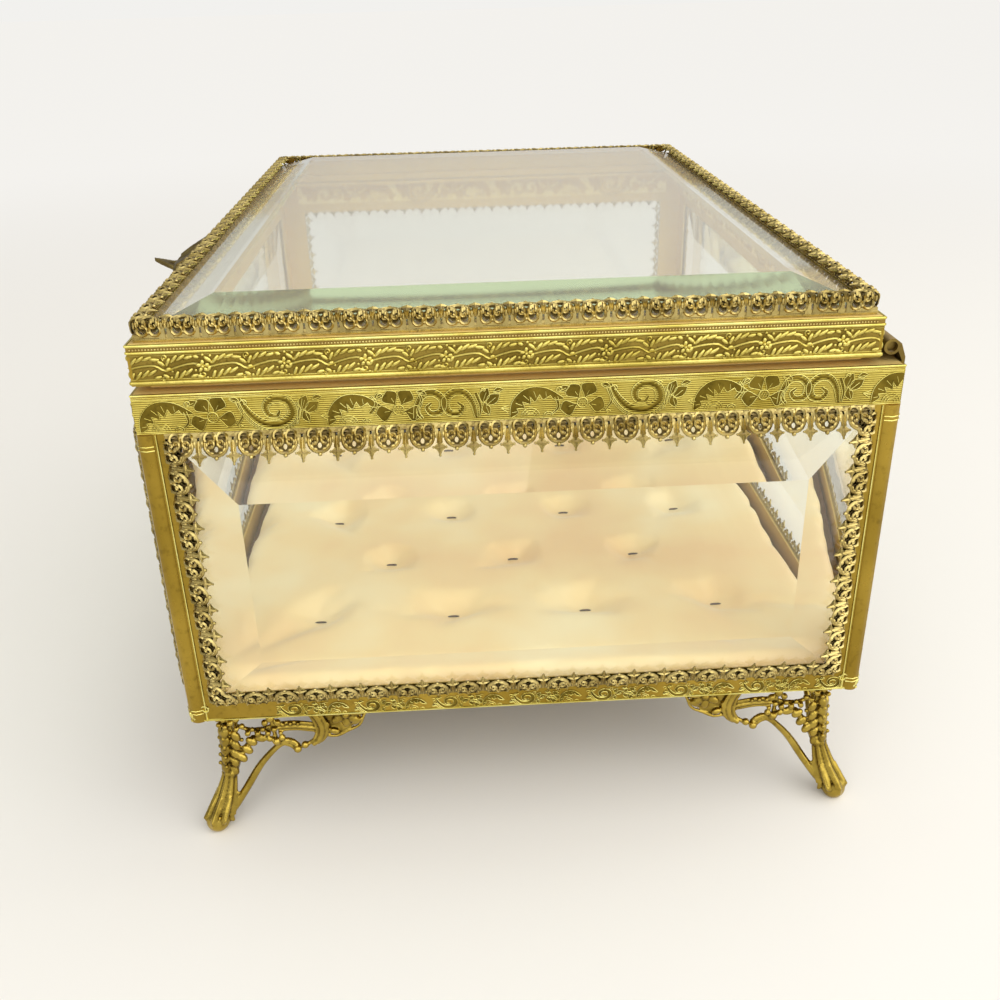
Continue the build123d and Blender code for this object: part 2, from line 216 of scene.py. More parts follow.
def wires(runs, roundness=1):
    # runs: points and a radius, or one radius for each point
    curve = bpy.data.curves.new("wires", "CURVE")
    curve.dimensions = "3D"
    curve.bevel_depth = 1
    curve.bevel_resolution = roundness
    curve.use_fill_caps = True
    for points, radii in runs:
        spline = curve.splines.new("POLY")
        spline.points.add(len(points) - 1)
        for number, (place, point) in enumerate(zip(points, spline.points)):
            point.co = (*place, 1)
            point.radius = radii[number] if isinstance(radii, (list, tuple)) else radii
    piece = bpy.data.objects.new("wires", curve)
    bpy.context.collection.objects.link(piece)
    pick(piece)
    bpy.ops.object.convert(target="MESH")
    return bpy.context.object


def towards(degrees):
    angle = math.radians(degrees)
    return Vector((math.cos(angle), math.sin(angle)))


def arc(centre, radius, start, end, steps, height=0.0):
    points = []
    for step in range(steps + 1):
        angle = math.radians(start + (end - start) * step / steps)
        points.append((centre[0] + radius * math.cos(angle), centre[1] + radius * math.sin(angle), height))
    return points


def curl(centre, wide, narrow, start, turns, steps, height=0.0):
    # a spiral from its wide outer radius in to its narrow one
    points = []
    for step in range(steps + 1):
        share = step / steps
        radius = wide + (narrow - wide) * share**0.8
        angle = math.radians(start) + turns * 2 * math.pi * share
        points.append((centre[0] + radius * math.cos(angle), centre[1] + radius * math.sin(angle), height))
    return points


def bendThrough(points, steps, height=0.0):
    # a smooth line through a few points
    places = [Vector(p).to_3d() for p in points]
    ends = [2 * places[0] - places[1]] + places + [2 * places[-1] - places[-2]]
    line = []
    for a, b, c, d in zip(ends, ends[1:], ends[2:], ends[3:]):
        for step in range(steps):
            t = step / steps
            line.append(0.5 * (2 * b + (c - a) * t + (2 * a - 5 * b + 4 * c - d) * t**2
                               + (3 * b - a - 3 * c + d) * t**3))
    line.append(places[-1])
    return [(p.x, p.y, p.z + height) for p in line]


def leafShape(base, tip, width, bend, fullness):
    # the outline of a leaf or petal, from its base round to its base
    steps, bluntness = 8, 0.03
    base, tip = Vector(base), Vector(tip)
    across = Vector((-(tip - base).y, (tip - base).x)).normalized()
    sides = ([], [])
    for step in range(steps + 1):
        share = step / steps
        middle = base.lerp(tip, share) + across * bend * math.sin(math.pi * share)
        half = width / 2 * math.sin(math.pi * share**fullness)
        half = max(half, width * bluntness)
        sides[0].append(middle + across * half)
        sides[1].append(middle - across * half)
    return [(p.x, p.y) for p in sides[0] + sides[1][::-1]]


def rimOf(outline, height):
    return [(u, v, height) for u, v in outline + outline[:1]]


def storeRelief(piece, low, high):
    # how far each point stands out of the sheet, for the dark colour in the recesses, which is patina and
    # painted shade.
    # the back of the sheet, which is below its low side, has none of it
    backBegins, backFull = 0.008, 0.08
    relief = piece.data.attributes.new("relief", "FLOAT", "POINT")
    for value, vertex in zip(relief.data, piece.data.vertices):
        above = (vertex.co.z - low) / (high - low)
        below = (low - vertex.co.z) / backFull - backBegins / backFull
        value.value = min(max(above, below, 0), 1)
    return piece


# materials

def linear(hexColour):
    parts = [int(hexColour[i:i + 2], 16) / 255 for i in (1, 3, 5)]
    return [c / 12.92 if c <= 0.04045 else ((c + 0.055) / 1.055) ** 2.4 for c in parts] + [1]


def addNode(tree, kind, values=None, links=None, **settings):
    node = tree.nodes.new(kind)
    for key, value in settings.items():
        setattr(node, key, value)
    for socket, value in (values or {}).items():
        node.inputs[socket].default_value = value
    for socket, source in (links or {}).items():
        tree.links.new(source, node.inputs[socket])
    return node


def perMm(size):
    return 1 / (size * mm)


def newMaterial(name):
    material = bpy.data.materials.new(name)
    material.use_nodes = True
    return material, material.node_tree, material.node_tree.nodes["Principled BSDF"]


def awayFrom(tree, coords, middle):
    # the distance of a point from the middle of a piece, along its length and its width
    centred = addNode(tree, "ShaderNodeVectorMath", {1: middle}, {0: coords.outputs["Object"]},
                      operation="SUBTRACT")
    away = addNode(tree, "ShaderNodeVectorMath", None, {0: centred.outputs["Vector"]}, operation="ABSOLUTE")
    apart = addNode(tree, "ShaderNodeSeparateXYZ", None, {0: away.outputs["Vector"]})
    return apart.outputs["X"], apart.outputs["Y"]


def giltBrass(name, look):
    # brass under a thin gilding. "patch" is the size of worn patches, "speck" of grime and "grain" of
    # the metal's own roughness, all in millimetres
    grainDepth, sheetThickness = 0.05, 0.4
    material, tree, shader = newMaterial(name)
    coords = addNode(tree, "ShaderNodeTexCoord")
    patches = addNode(tree, "ShaderNodeTexNoise", {"Scale": perMm(look["patch"]), "Detail": 3},
                      {"Vector": coords.outputs["Object"]})
    specks = addNode(tree, "ShaderNodeTexNoise", {"Scale": perMm(look["speck"]), "Detail": 4},
                     {"Vector": coords.outputs["Object"]})
    worn = addNode(tree, "ShaderNodeMapRange", {"From Min": 0.38, "From Max": 0.64},
                   {"Value": patches.outputs["Fac"]})
    colour = addNode(tree, "ShaderNodeMix", {6: linear(look["gilt"]), 7: linear(look["worn"])},
                     {"Factor": worn.outputs[0]}, data_type="RGBA")
    spotted = addNode(tree, "ShaderNodeMapRange",
                      {"From Min": 0.55, "From Max": 0.75, "To Max": look["grime"]},
                      {"Value": specks.outputs["Fac"]})
    colour = addNode(tree, "ShaderNodeMix", {7: linear(look["dark"])},
                     {"Factor": spotted.outputs[0], 6: colour.outputs[2]}, data_type="RGBA")
    rough = addNode(tree, "ShaderNodeMapRange", {"To Min": look["smooth"], "To Max": look["rough"]},
                    {"Value": specks.outputs["Fac"]})
    roughness = rough.outputs[0]
    if look.get("walls"):
        # the inside of the walls was never polished, so it is duller; its paler colour is painted light that
        # lifts the inner faces out of the box's shade
        middle, half = look["walls"]
        near = [addNode(tree, "ShaderNodeMath", {1: reach - sheetThickness * mm}, {0: along},
                        operation="LESS_THAN")
                for along, reach in zip(awayFrom(tree, coords, middle), half)]
        inside = addNode(tree, "ShaderNodeMath", None, {0: near[0].outputs[0], 1: near[1].outputs[0]},
                         operation="MINIMUM")
        share = addNode(tree, "ShaderNodeMath", {1: 0.8}, {0: inside.outputs[0]}, operation="MULTIPLY")
        colour = addNode(tree, "ShaderNodeMix", {7: linear("#e4c87c")},
                         {"Factor": share.outputs[0], 6: colour.outputs[2]}, data_type="RGBA")
        matted = addNode(tree, "ShaderNodeMath", {1: 0.4}, {0: inside.outputs[0]}, operation="MULTIPLY")
        roughness = addNode(tree, "ShaderNodeMath", {1: 0.3}, {0: inside.outputs[0], 2: roughness},
                            operation="MULTIPLY_ADD").outputs[0]
    if look.get("recess"):
        # dark patina stays where the polishing cloth doesn't reach; the same dark colour in every recess is
        # also painted shade
        if look["recess"] == "stamped":
            depth = addNode(tree, "ShaderNodeAttribute", attribute_name="relief")
            deep = addNode(tree, "ShaderNodeMapRange",
                           {"From Min": 0.15, "From Max": 0.75, "To Min": 0.9, "To Max": 0},
                           {"Value": depth.outputs["Fac"]})
        else:
            depth = addNode(tree, "ShaderNodeNewGeometry")
            deep = addNode(tree, "ShaderNodeMapRange",
                           {"From Min": 0.455, "From Max": 0.503, "To Min": 0.95, "To Max": 0},
                           {"Value": depth.outputs["Pointiness"]})
        colour = addNode(tree, "ShaderNodeMix", {7: linear(look["patinaAndShade"])},
                         {"Factor": deep.outputs[0], 6: colour.outputs[2]}, data_type="RGBA")
        added = addNode(tree, "ShaderNodeMath", {1: 0.25}, {0: deep.outputs[0]}, operation="MULTIPLY")
        roughness = addNode(tree, "ShaderNodeMath", None, {0: roughness, 1: added.outputs[0]},
                            operation="ADD").outputs[0]
    tree.links.new(colour.outputs[2], shader.inputs["Base Color"])
    shader.inputs["Metallic"].default_value = look.get("metal", 1)
    if look.get("dust"):
        # dust lies on what faces up
        facing = addNode(tree, "ShaderNodeSeparateXYZ", None, {0: coords.outputs["Normal"]})
        lying = addNode(tree, "ShaderNodeMapRange",
                        {"From Min": 0.8, "From Max": 0.98, "To Max": look["dust"]},
                        {"Value": facing.outputs["Z"]})
        broken = addNode(tree, "ShaderNodeMath", None, {0: lying.outputs[0], 1: specks.outputs["Fac"]},
                         operation="MULTIPLY")
        dusty = addNode(tree, "ShaderNodeMix", {7: linear("#b9a17a")},
                        {"Factor": broken.outputs[0], 6: colour.outputs[2]}, data_type="RGBA")
        tree.links.new(dusty.outputs[2], shader.inputs["Base Color"])
        cover = broken
        if look.get("walls"):
            cover = addNode(tree, "ShaderNodeMath", None, {0: broken.outputs[0], 1: matted.outputs[0]},
                            operation="MAXIMUM")
        bare = addNode(tree, "ShaderNodeMath", {0: 1}, {1: cover.outputs[0]}, operation="SUBTRACT")
        tree.links.new(bare.outputs[0], shader.inputs["Metallic"])
        roughness = addNode(tree, "ShaderNodeMath", None, {0: roughness, 1: broken.outputs[0]},
                            operation="ADD").outputs[0]
    tree.links.new(roughness, shader.inputs["Roughness"])
    grain = addNode(tree, "ShaderNodeTexNoise", {"Scale": perMm(look["grain"]), "Detail": 2},
                    {"Vector": coords.outputs["Object"]})
    bump = addNode(tree, "ShaderNodeBump", {"Strength": look["bump"], "Distance": grainDepth * mm},
                   {"Height": grain.outputs["Fac"]})
    tree.links.new(bump.outputs[0], shader.inputs["Normal"])
    return material


# smooth from the rolls: broad soft glints, with worn patches as wide as a thumb
rolledLook = {
    "gilt": "#b0933c", "worn": "#92782b", "dark": "#4a3614", "patch": 26, "speck": 1.4, "grime": 0.35,
    "smooth": 0.2, "rough": 0.42, "grain": 0.5, "bump": 0.25, "dust": 0.25,
}
giltSheet = giltBrass("gilt sheet brass, rolled and folded", rolledLook)
caseSheet = giltBrass("gilt sheet brass of the case's walls", {
    **rolledLook, "walls": ((caseLow + caseHigh) / 2 * mm, (caseHigh - caseLow) / 2 * mm),
})
lidSheet = giltBrass("gilt sheet brass of the lid's rails", {
    **rolledLook, "walls": ((lidLow + lidHigh) / 2 * mm, (lidHigh - lidLow) / 2 * mm),
})
# never polished nor handled, so its gilding is matt; its pale colour is painted light, so that it shows
# through the glass as light flecks, and its recesses take painted shade as well as patina
pressedGilt = giltBrass("gilt brass, the back of a pressed pattern", {
    "gilt": "#fff0a6", "worn": "#f3dc86", "dark": "#c9a95a", "patch": 9, "speck": 0.9, "grime": 0.2,
    "smooth": 0.4, "rough": 0.6, "grain": 0.4, "bump": 0.3, "recess": "stamped", "patinaAndShade": "#d0b062",
    "metal": 0.2,
})
# fine ridges; their pale colour is a painted highlight for the shimmer that they catch, and the dark between
# them is painted shade and patina
ruledGilt = giltBrass("gilt brass, ruled ground", {
    "gilt": "#c9b95f", "worn": "#a8953d", "dark": "#5d4a1c", "patch": 14, "speck": 0.9, "grime": 0.3,
    "smooth": 0.25, "rough": 0.5, "grain": 0.3, "bump": 0.3, "recess": "stamped", "patinaAndShade": "#6b5519",
})
# the broad parts of flowers and leaves, darkened as a painted reflection of dark surroundings, so that they
# read darker than their ground
flatGilt = giltBrass("gilt brass, flats of the engraving", {
    "gilt": "#7f6c27", "worn": "#64551c", "dark": "#3c2f12", "patch": 4, "speck": 0.8, "grime": 0.5,
    "smooth": 0.22, "rough": 0.4, "grain": 0.35, "bump": 0.4,
})
# a graver's cut is mirror-bright; its pale colour is a painted highlight, so that it shows as a thin light
# line
cutGilt = giltBrass("gilt brass, bright cut lines", {
    "gilt": "#e6dd88", "worn": "#cdbd5e", "dark": "#8a7130", "patch": 9, "speck": 0.7, "grime": 0.25,
    "smooth": 0.15, "rough": 0.32, "grain": 0.3, "bump": 0.2,
})
# rubbed bright on its ridges and dusty where it faces up; the brown-black in its holes and hollows is patina
# and painted shade
stampedGilt = giltBrass("gilt brass stamping, pierced", {
    "gilt": "#cfbb78", "worn": "#a69254", "dark": "#43341a", "patch": 7, "speck": 0.8, "grime": 0.5,
    "smooth": 0.16, "rough": 0.36, "grain": 0.25, "bump": 0.35, "recess": "stamped", "patinaAndShade": "#3f3016",
    "dust": 0.9,
})
# soft rounded highlights on what stands out, and dark where shapes meet: patina and painted shade
castGilt = giltBrass("gilt brass casting", {
    "gilt": "#b89f48", "worn": "#937c32", "dark": "#463511", "patch": 8, "speck": 1.0, "grime": 0.35,
    "smooth": 0.16, "rough": 0.34, "grain": 0.4, "bump": 0.3, "recess": "cast", "patinaAndShade": "#37290e",
})
# leaves rubbed pale by dusting, over a ground that is brown with patina and painted shade
embossedGilt = giltBrass("gilt brass, embossed and rubbed", {
    "gilt": "#ddcd72", "worn": "#b5a34c", "dark": "#5a4a1c", "patch": 11, "speck": 0.8, "grime": 0.4,
    "smooth": 0.2, "rough": 0.4, "grain": 0.3, "bump": 0.4, "recess": "stamped", "patinaAndShade": "#6a561f",
})
# a row of pin-point glints with tan between the beads, which is tarnish and painted shade
beadedGilt = giltBrass("gilt brass, milled bead", {
    "gilt": "#e0cf84", "worn": "#bfa663", "dark": "#6b4a2a", "patch": 9, "speck": 0.6, "grime": 0.5,
    "smooth": 0.25, "rough": 0.5, "grain": 0.3, "bump": 0.3, "recess": "stamped", "patinaAndShade": "#957a3c",
})
# handled and never polished: a low brown gloss with dust on top
dullGilt = giltBrass("gilt brass tube, dull", {
    "gilt": "#957f40", "worn": "#786535", "dark": "#3a2c18", "patch": 12, "speck": 0.9, "grime": 0.5,
    "smooth": 0.32, "rough": 0.55, "grain": 0.4, "bump": 0.35, "dust": 0.8,
})
# the tab that fingers lift: its gilding is gone and it is brown with dull edges, darker still where shapes
# meet with patina and painted shade
tarnishedCast = giltBrass("gilt brass casting, tarnished", {
    "gilt": "#8b7a46", "worn": "#6a5a35", "dark": "#33281a", "patch": 5, "speck": 0.8, "grime": 0.5,
    "smooth": 0.34, "rough": 0.6, "grain": 0.4, "bump": 0.5, "recess": "cast", "patinaAndShade": "#33271a",
})
# punched all over into fine pits, so it has no glint; its darker colour is also painted shade between the
# leaves, and sets them off
mattedGilt = giltBrass("gilt brass, matted ground", {
    "gilt": "#96803a", "worn": "#7b672a", "dark": "#4a3b16", "patch": 8, "speck": 0.5, "grime": 0.6,
    "smooth": 0.35, "rough": 0.6, "grain": 0.28, "bump": 1.0,
})


def plateGlass(name, haze, rubbed=None, veil=0):
    # bevelled plate glass: clear face on, green along its length, and it lets lamps through.
    # haze is the fine rubbing on its faces, veil the share of them that dust hides
    material, tree, shader = newMaterial(name)
    for socket, value in {
        "Base Color": linear("#fdfefc"), "Roughness": haze, "IOR": 1.52, "Transmission Weight": 1,
    }.items():
        shader.inputs[socket].default_value = value
    if rubbed:
        # the ground bevels hold more of it than the flat middle
        coords = addNode(tree, "ShaderNodeTexCoord")
        middle, half, bevel = rubbed
        edges = []
        for along, reach in zip(awayFrom(tree, coords, middle), half):
            edges.append(addNode(tree, "ShaderNodeMapRange", {
                "From Min": reach - bevel, "From Max": reach - bevel + 1 * mm, "To Min": haze,
                "To Max": haze * 3,
            }, {"Value": along}))
        rough = addNode(tree, "ShaderNodeMath", None, {0: edges[0].outputs[0], 1: edges[1].outputs[0]},
                        operation="MAXIMUM")
        tree.links.new(rough.outputs[0], shader.inputs["Roughness"])
    path = addNode(tree, "ShaderNodeLightPath")
    straight = addNode(tree, "ShaderNodeMath", None,
                       {0: path.outputs["Is Shadow Ray"], 1: path.outputs["Is Diffuse Ray"]},
                       operation="MAXIMUM")
    clear = addNode(tree, "ShaderNodeBsdfTransparent", {"Color": linear("#fafbf8")})
    body = shader.outputs[0]
    if veil:
        # dust lies on the outside of the faces and dims nothing that runs inside the glass
        dust = addNode(tree, "ShaderNodeBsdfDiffuse", {"Color": linear("#f6f2e8")})
        side = addNode(tree, "ShaderNodeNewGeometry")
        outside = addNode(tree, "ShaderNodeMath", {0: 1}, {1: side.outputs["Backfacing"]},
                          operation="SUBTRACT")
        lying = addNode(tree, "ShaderNodeMath", {1: veil}, {0: outside.outputs[0]}, operation="MULTIPLY")
        body = addNode(tree, "ShaderNodeMixShader", None,
                       {0: lying.outputs[0], 1: body, 2: dust.outputs[0]}).outputs[0]
    mixed = addNode(tree, "ShaderNodeMixShader", None, {0: straight.outputs[0], 1: body, 2: clear.outputs[0]})
    tint = addNode(tree, "ShaderNodeVolumeAbsorption", {"Color": linear("#b1d963"), "Density": 4.6})
    sink = tree.nodes["Material Output"]
    tree.links.new(mixed.outputs[0], sink.inputs["Surface"])
    tree.links.new(tint.outputs[0], sink.inputs["Volume"])
    return material


def creamSatin():
    # acetate satin over wadding: a soft sheen, faint peach stains and a fine weave.
    # its threads are 0.1 mm apart, drawn five times as coarse so that they show
    weave, slub, stain = 0.5, 2.2, 38
    material, tree, shader = newMaterial("cream satin, quilted")
    coords = addNode(tree, "ShaderNodeTexCoord")
    stains = addNode(tree, "ShaderNodeTexNoise", {"Scale": perMm(stain), "Detail": 3, "Roughness": 0.55},
                     {"Vector": coords.outputs["Object"]})
    colour = addNode(tree, "ShaderNodeValToRGB", None, {"Fac": stains.outputs["Fac"]})
    colour.color_ramp.elements[0].position = 0.34
    colour.color_ramp.elements[0].color = linear("#f4cf98")
    colour.color_ramp.elements[1].position = 0.68
    colour.color_ramp.elements[1].color = linear("#fdebbf")
    middle = colour.color_ramp.elements.new(0.5)
    middle.color = linear("#f9dda6")
    tree.links.new(colour.outputs["Color"], shader.inputs["Base Color"])
    shader.inputs["Roughness"].default_value = 0.5
    shader.inputs["Sheen Weight"].default_value = 0.35
    shader.inputs["Sheen Roughness"].default_value = 0.4
    warp = addNode(tree, "ShaderNodeTexWave", {"Scale": perMm(weave) / 20, "Distortion": 0.6, "Detail": 1},
                   {"Vector": coords.outputs["Object"]}, bands_direction="Y")
    slubs = addNode(tree, "ShaderNodeTexNoise", {"Scale": perMm(slub), "Detail": 3},
                    {"Vector": coords.outputs["Object"]})
    height = addNode(tree, "ShaderNodeMath", {2: 0.3}, {0: warp.outputs["Fac"], 1: slubs.outputs["Fac"]},
                     operation="MULTIPLY_ADD")
    bump = addNode(tree, "ShaderNodeBump", {"Strength": 0.35, "Distance": 0.08 * mm},
                   {"Height": height.outputs[0]})
    tree.links.new(bump.outputs[0], shader.inputs["Normal"])
    return material


def plainMatt(name, light, dark, size, roughness):
    # fibres with no gloss, mottled at the size of a strand
    material, tree, shader = newMaterial(name)
    coords = addNode(tree, "ShaderNodeTexCoord")
    grain = addNode(tree, "ShaderNodeTexNoise", {"Scale": perMm(size), "Detail": 4},
                    {"Vector": coords.outputs["Object"]})
    colour = addNode(tree, "ShaderNodeMix", {6: linear(dark), 7: linear(light)},
                     {"Factor": grain.outputs["Fac"]}, data_type="RGBA")
    bump = addNode(tree, "ShaderNodeBump", {"Strength": 0.4, "Distance": 0.05 * mm},
                   {"Height": grain.outputs["Fac"]})
    tree.links.new(colour.outputs[2], shader.inputs["Base Color"])
    tree.links.new(bump.outputs[0], shader.inputs["Normal"])
    shader.inputs["Roughness"].default_value = roughness
    return material


lidGlassLook = {"haze": 0.018, "bevel": 12, "veil": 0.12}  # the ground bevel is duller than the middle
glassLow, glassHigh = boxOf("lid_glass")
paneGlass = plateGlass("bevelled plate glass, polished", 0.015)
lidGlass = plateGlass("bevelled plate glass, polished and dusty", lidGlassLook["haze"], (
    (glassLow + glassHigh) / 2 * mm, (glassHigh - glassLow) / 2 * mm, lidGlassLook["bevel"] * mm,
), lidGlassLook["veil"])
satin = creamSatin()
thread = plainMatt("tufting thread, linen", "#6b5540", "#2c2118", 0.3, 0.8)
pasteboard = plainMatt("pasteboard, grey-brown", "#8d7656", "#6c5840", 0.6, 0.9)
print("materials made")


# the frame's own nodes get their finishes

finishes = {
    "frame_brass": giltSheet, "gallery_brass": stampedGilt, "foot_brass": castGilt, "hinge_brass": dullGilt,
    "tab_brass": tarnishedCast, "base_brass": dullGilt, "bevelled_glass": paneGlass, "pad_satin": satin,
    "tufting_thread": thread, "pad_card": pasteboard,
}
ownFinish = {"lid_glass": lidGlass}
for wall in ("front", "right", "back", "left"):
    ownFinish.update({f"frame_{wall}": caseSheet, f"lid_rail_{wall}": lidSheet})
for part in frame["record"]["subparts"]:
    node = frame["nodes"][part["node"]]
    node.data.materials.clear()
    node.data.materials.append(ownFinish.get(part["node"], finishes[part["material_slot"]]))
print("frame nodes finished")


# pierced galleries

galleryCell = {
    "pitch": 6.1,
    "base": 1.0,  # plain edge of the strip
    "loop": 0.95,  # radius of the two loops at the foot of a cell
    "ring": 2.0,  # and of the ring that closes them
    "ringCentre": 3.35,
    "tube": 0.34,  # radius of a raised line
    "stem": 3.2,  # where the stem leaves the strip, and then its leaf's middle, tip and half width
    "leafMiddle": 5.4,
    "leafTip": 6.9,
    "leafHalf": 1.05,
    "sharpest": 50,  # degrees
}


def ringCell():
    # two loops at the foot, the ring that closes them, and leaf scrolls that fill it round a small hole
    cell = galleryCell
    tube = cell["tube"]
    ringCentre, inner = cell["ringCentre"], cell["ring"] - 0.05
    runs = [(arc((0, ringCentre), cell["ring"], 196, -16, 12, 0.14), tube)]
    parts = []
    for side in (-1, 1):
        start, end = (100, 400) if side > 0 else (80, -220)
        runs.append((arc((side * 1.12, cell["base"] + 1.1), cell["loop"], start, end, 9, 0.18), tube * 0.85))
        scrollStart = 70 if side > 0 else 110
        scroll = curl((side * 0.98, ringCentre - 0.35), 0.92, 0.25, scrollStart, side * 0.95, 8, 0.22)
        runs.append((scroll, [0.32 - 0.02 * n for n in range(9)]))
        rim = [(side * inner * math.cos(a), ringCentre + inner * math.sin(a)) for a in
               (math.radians(d) for d in range(-60, 91, 25))]
        hole = [(side * 0.36 * math.cos(a), ringCentre + 0.8 + 0.52 * math.sin(a)) for a in
                (math.radians(d) for d in range(90, -91, -45))]
        outline = rim + [(0, ringCentre + inner)] + hole + [(0, cell["base"] + 0.9)]
        parts.append(plate(outline, -0.18, -0.08))
        for u, v, long, wide, lean in (
            (1.42, 0.95, 0.72, 0.36, 62), (0.78, 1.42, 0.55, 0.3, 20), (0.72, 0.3, 0.42, 0.27, 75),
            (1.62, -0.05, 0.6, 0.3, 88),
        ):
            turn = math.radians(side * -lean)
            parts.append(ball((side * u, ringCentre + v, 0.12), 1, (long, wide, 0.34), turn, (6, 4)))
        parts.append(ball((side * 2.4, cell["base"] + 2.0, 0.1), 0.5, (0.55, 1.5, 0.6), 0, (6, 4)))
    parts.append(wires(runs, 0))
    parts.append(ball((0, cell["base"] + 0.75, 0.16), 0.36, (1.2, 0.9, 0.8), 0, (6, 4)))
    parts.append(ball((0, ringCentre + cell["ring"] + 0.4, 0.16), 0.42, (1, 1, 0.9), 0, (7, 5)))
    return parts


def stemCell():
    # a ribbed stem that opens into a leaf with three points, on the line between two rings
    top, middle, tip, half = (galleryCell[key] for key in ("stem", "leafMiddle", "leafTip", "leafHalf"))
    points = [(-half, middle), (0, tip), (half, middle)]
    ribs = [(bendThrough([(0, top - 0.7), (0, top + 1.2), (0, middle - 0.3)], 3, 0.2), 0.24)]
    for side in (-1, 1):
        rib = [(side * 0.22, top - 0.3), (side * 0.34, top + 0.9), (side * 0.42, middle - 0.8)]
        ribs.append((bendThrough(rib, 3, 0.16), 0.17))
    # ridges from the leaf's middle to its points
    for u, v in points:
        ridge = [(0, middle, 0.3), (u * 0.6, middle + (v - middle) * 0.6, 0.24), (u, v, 0.1)]
        ribs.append((ridge, [0.34, 0.26, 0.16]))
    parts = [wires(ribs, 0)]
    leaf = [(-half - 0.2, middle), (-0.5, middle + 0.6), (0, tip + 0.1), (0.5, middle + 0.6),
            (half + 0.2, middle), (0.52, middle - 0.6), (0.24, middle - 1.2), (-0.24, middle - 1.2),
            (-0.52, middle - 0.6)]
    parts.append(plate(leaf, -0.16, 0.18))
    # the web below it, open by a slit on the line of the stem
    for side in (-1, 1):
        parts.append(plate([(side * u, v) for u, v in (
            (1.3, 0.6), (1.2, 1.5), (0.8, 2.2), (0.95, 3.1), (0.5, 3.9), (0.15, 4.4), (0.12, 2.9), (0.2, 2.6),
            (0.2, 0.6),
        )], -0.14, 0.22))
    for u, v in points:
        parts.append(ball((u * 1.1, v, 0.08), 0.26, (1, 1, 0.85), 0, (6, 4)))
    return parts


def baseStrip(length, ledge):
    # plain sheet along the foot of a strip, with a raised line rolled into it
    under = -0.36
    rows = [(0, under), (0, 0.0), (0.42, 0.0), (0.5, 0.12), (0.64, 0.12), (0.72, 0.0), (ledge, 0.0),
            (ledge, under)]
    piece = plate(rows, -length / 2, length / 2)
    # the outline is drawn across the strip, so the length that it was raised by becomes the run
    piece.data.transform(Matrix(((0, 0, 1, 0), (1, 0, 0, 0), (0, 1, 0, 0), (0, 0, 0, 1))))
    return piece


def foldStrip(piece, foldAt, slope, bendRadius=0.35):
    # folds flat work, standing at first, in over the glass. v turns into inward and out
    turn = math.radians(90 - slope)
    bendLength = bendRadius * turn
    start = foldAt - bendLength / 2
    for vertex in piece.data.vertices:
        u, t, w = vertex.co
        s = min(max(t - start, 0), bendLength)
        angle = math.pi / 2 - s / bendRadius
        inward = bendRadius * (1 - math.cos(s / bendRadius))
        out = min(t, start) + bendRadius * math.sin(s / bendRadius)
        past = max(t - start - bendLength, 0)
        inward += past * math.cos(angle) - w * math.sin(angle)
        out += past * math.sin(angle) + w * math.cos(angle)
        vertex.co = (u, inward, out)


ringWork = storeRelief(paint(joinUp("ring work", ringCell()), stampedGilt), -0.1, 0.5)
stemWork = storeRelief(paint(joinUp("stem work", stemCell()), stampedGilt), -0.08, 0.45)


def galleryRun(halfRun, foldAt, slope, ledge):
    # whole cells along a strip, folded and mitred at both ends
    count = round(2 * halfRun / galleryCell["pitch"])
    pitch = 2 * halfRun / count
    rings = repeated(copyOf(ringWork, "rings"), count, pitch)
    rings.data.transform(Matrix.Translation((pitch / 2 - halfRun, 0, 0)))
    stems = repeated(copyOf(stemWork, "stems"), count - 1, pitch)
    stems.data.transform(Matrix.Translation((pitch - halfRun, 0, 0)))
    foot = storeRelief(paint(baseStrip(2 * halfRun + 2, ledge), stampedGilt), -0.75, -0.4)
    run = joinUp("gallery run", [rings, stems, foot])
    foldStrip(run, foldAt, slope)
    for end in (-1, 1):
        cutBeyond(run, (end * halfRun, 0, 0), (end, 1, 0))
    return smoothed(run, galleryCell["sharpest"])


walls, lidWalls = wallsOf(caseLow, caseHigh), wallsOf(lidLow, lidHigh)
galleryMiddle = (galleryLow.z + galleryHigh.z) / 2
galleryHalfHeight = (galleryHigh.z - galleryLow.z) / 2
# where a strip folds, how many degrees it slopes from then on, and how much of its foot is solid
paneFold = {"at": 1.6, "slope": 21, "solid": 1.9}
lidFold = {"at": 3.7, "slope": 0, "solid": 1.3, "ledge": 1.2}  # it stands on a ledge, in from the rail's face

for wall, (out, foot, halfWall) in walls.items():
    low, high = boxOf(f"gallery_{wall}_top")
    along = up.cross(out)
    halfRun = max(high.x - low.x, high.y - low.y) / 2
    middle = foot + up * galleryMiddle
    upright = galleryRun(galleryHalfHeight, paneFold["at"], paneFold["slope"], paneFold["solid"])
    level = galleryRun(halfRun, paneFold["at"], paneFold["slope"], paneFold["solid"])
    for name, inward, reach, run in (
        ("top", -up, galleryHalfHeight, level), ("bottom", up, galleryHalfHeight, copyOf(level, "run")),
        ("right", -along, halfRun, upright), ("left", along, halfRun, copyOf(upright, "run")),
    ):
        node = f"gallery_{wall}_{name}"
        place = axesAt(middle - inward * reach, inward.cross(out), inward, out)
        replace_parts(setDown(run, f"pierced_{node}", place, "casket"), node)
print("galleries folded round the panes")

for wall, (out, foot, halfWall) in lidWalls.items():
    node = f"lid_gallery_{wall}"
    run = galleryRun(halfWall - lidFold["ledge"], lidFold["at"], lidFold["slope"], lidFold["solid"])
    place = axesAt(foot - out * lidFold["ledge"] + up * lidBand[1], (-out).cross(up), -out, up)
    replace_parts(setDown(run, f"pierced_{node}", place, "lid"), node)
print("galleries folded round the lid's glass")

drop(ringWork, stemWork)


# engraved bands, posts and sills on the case

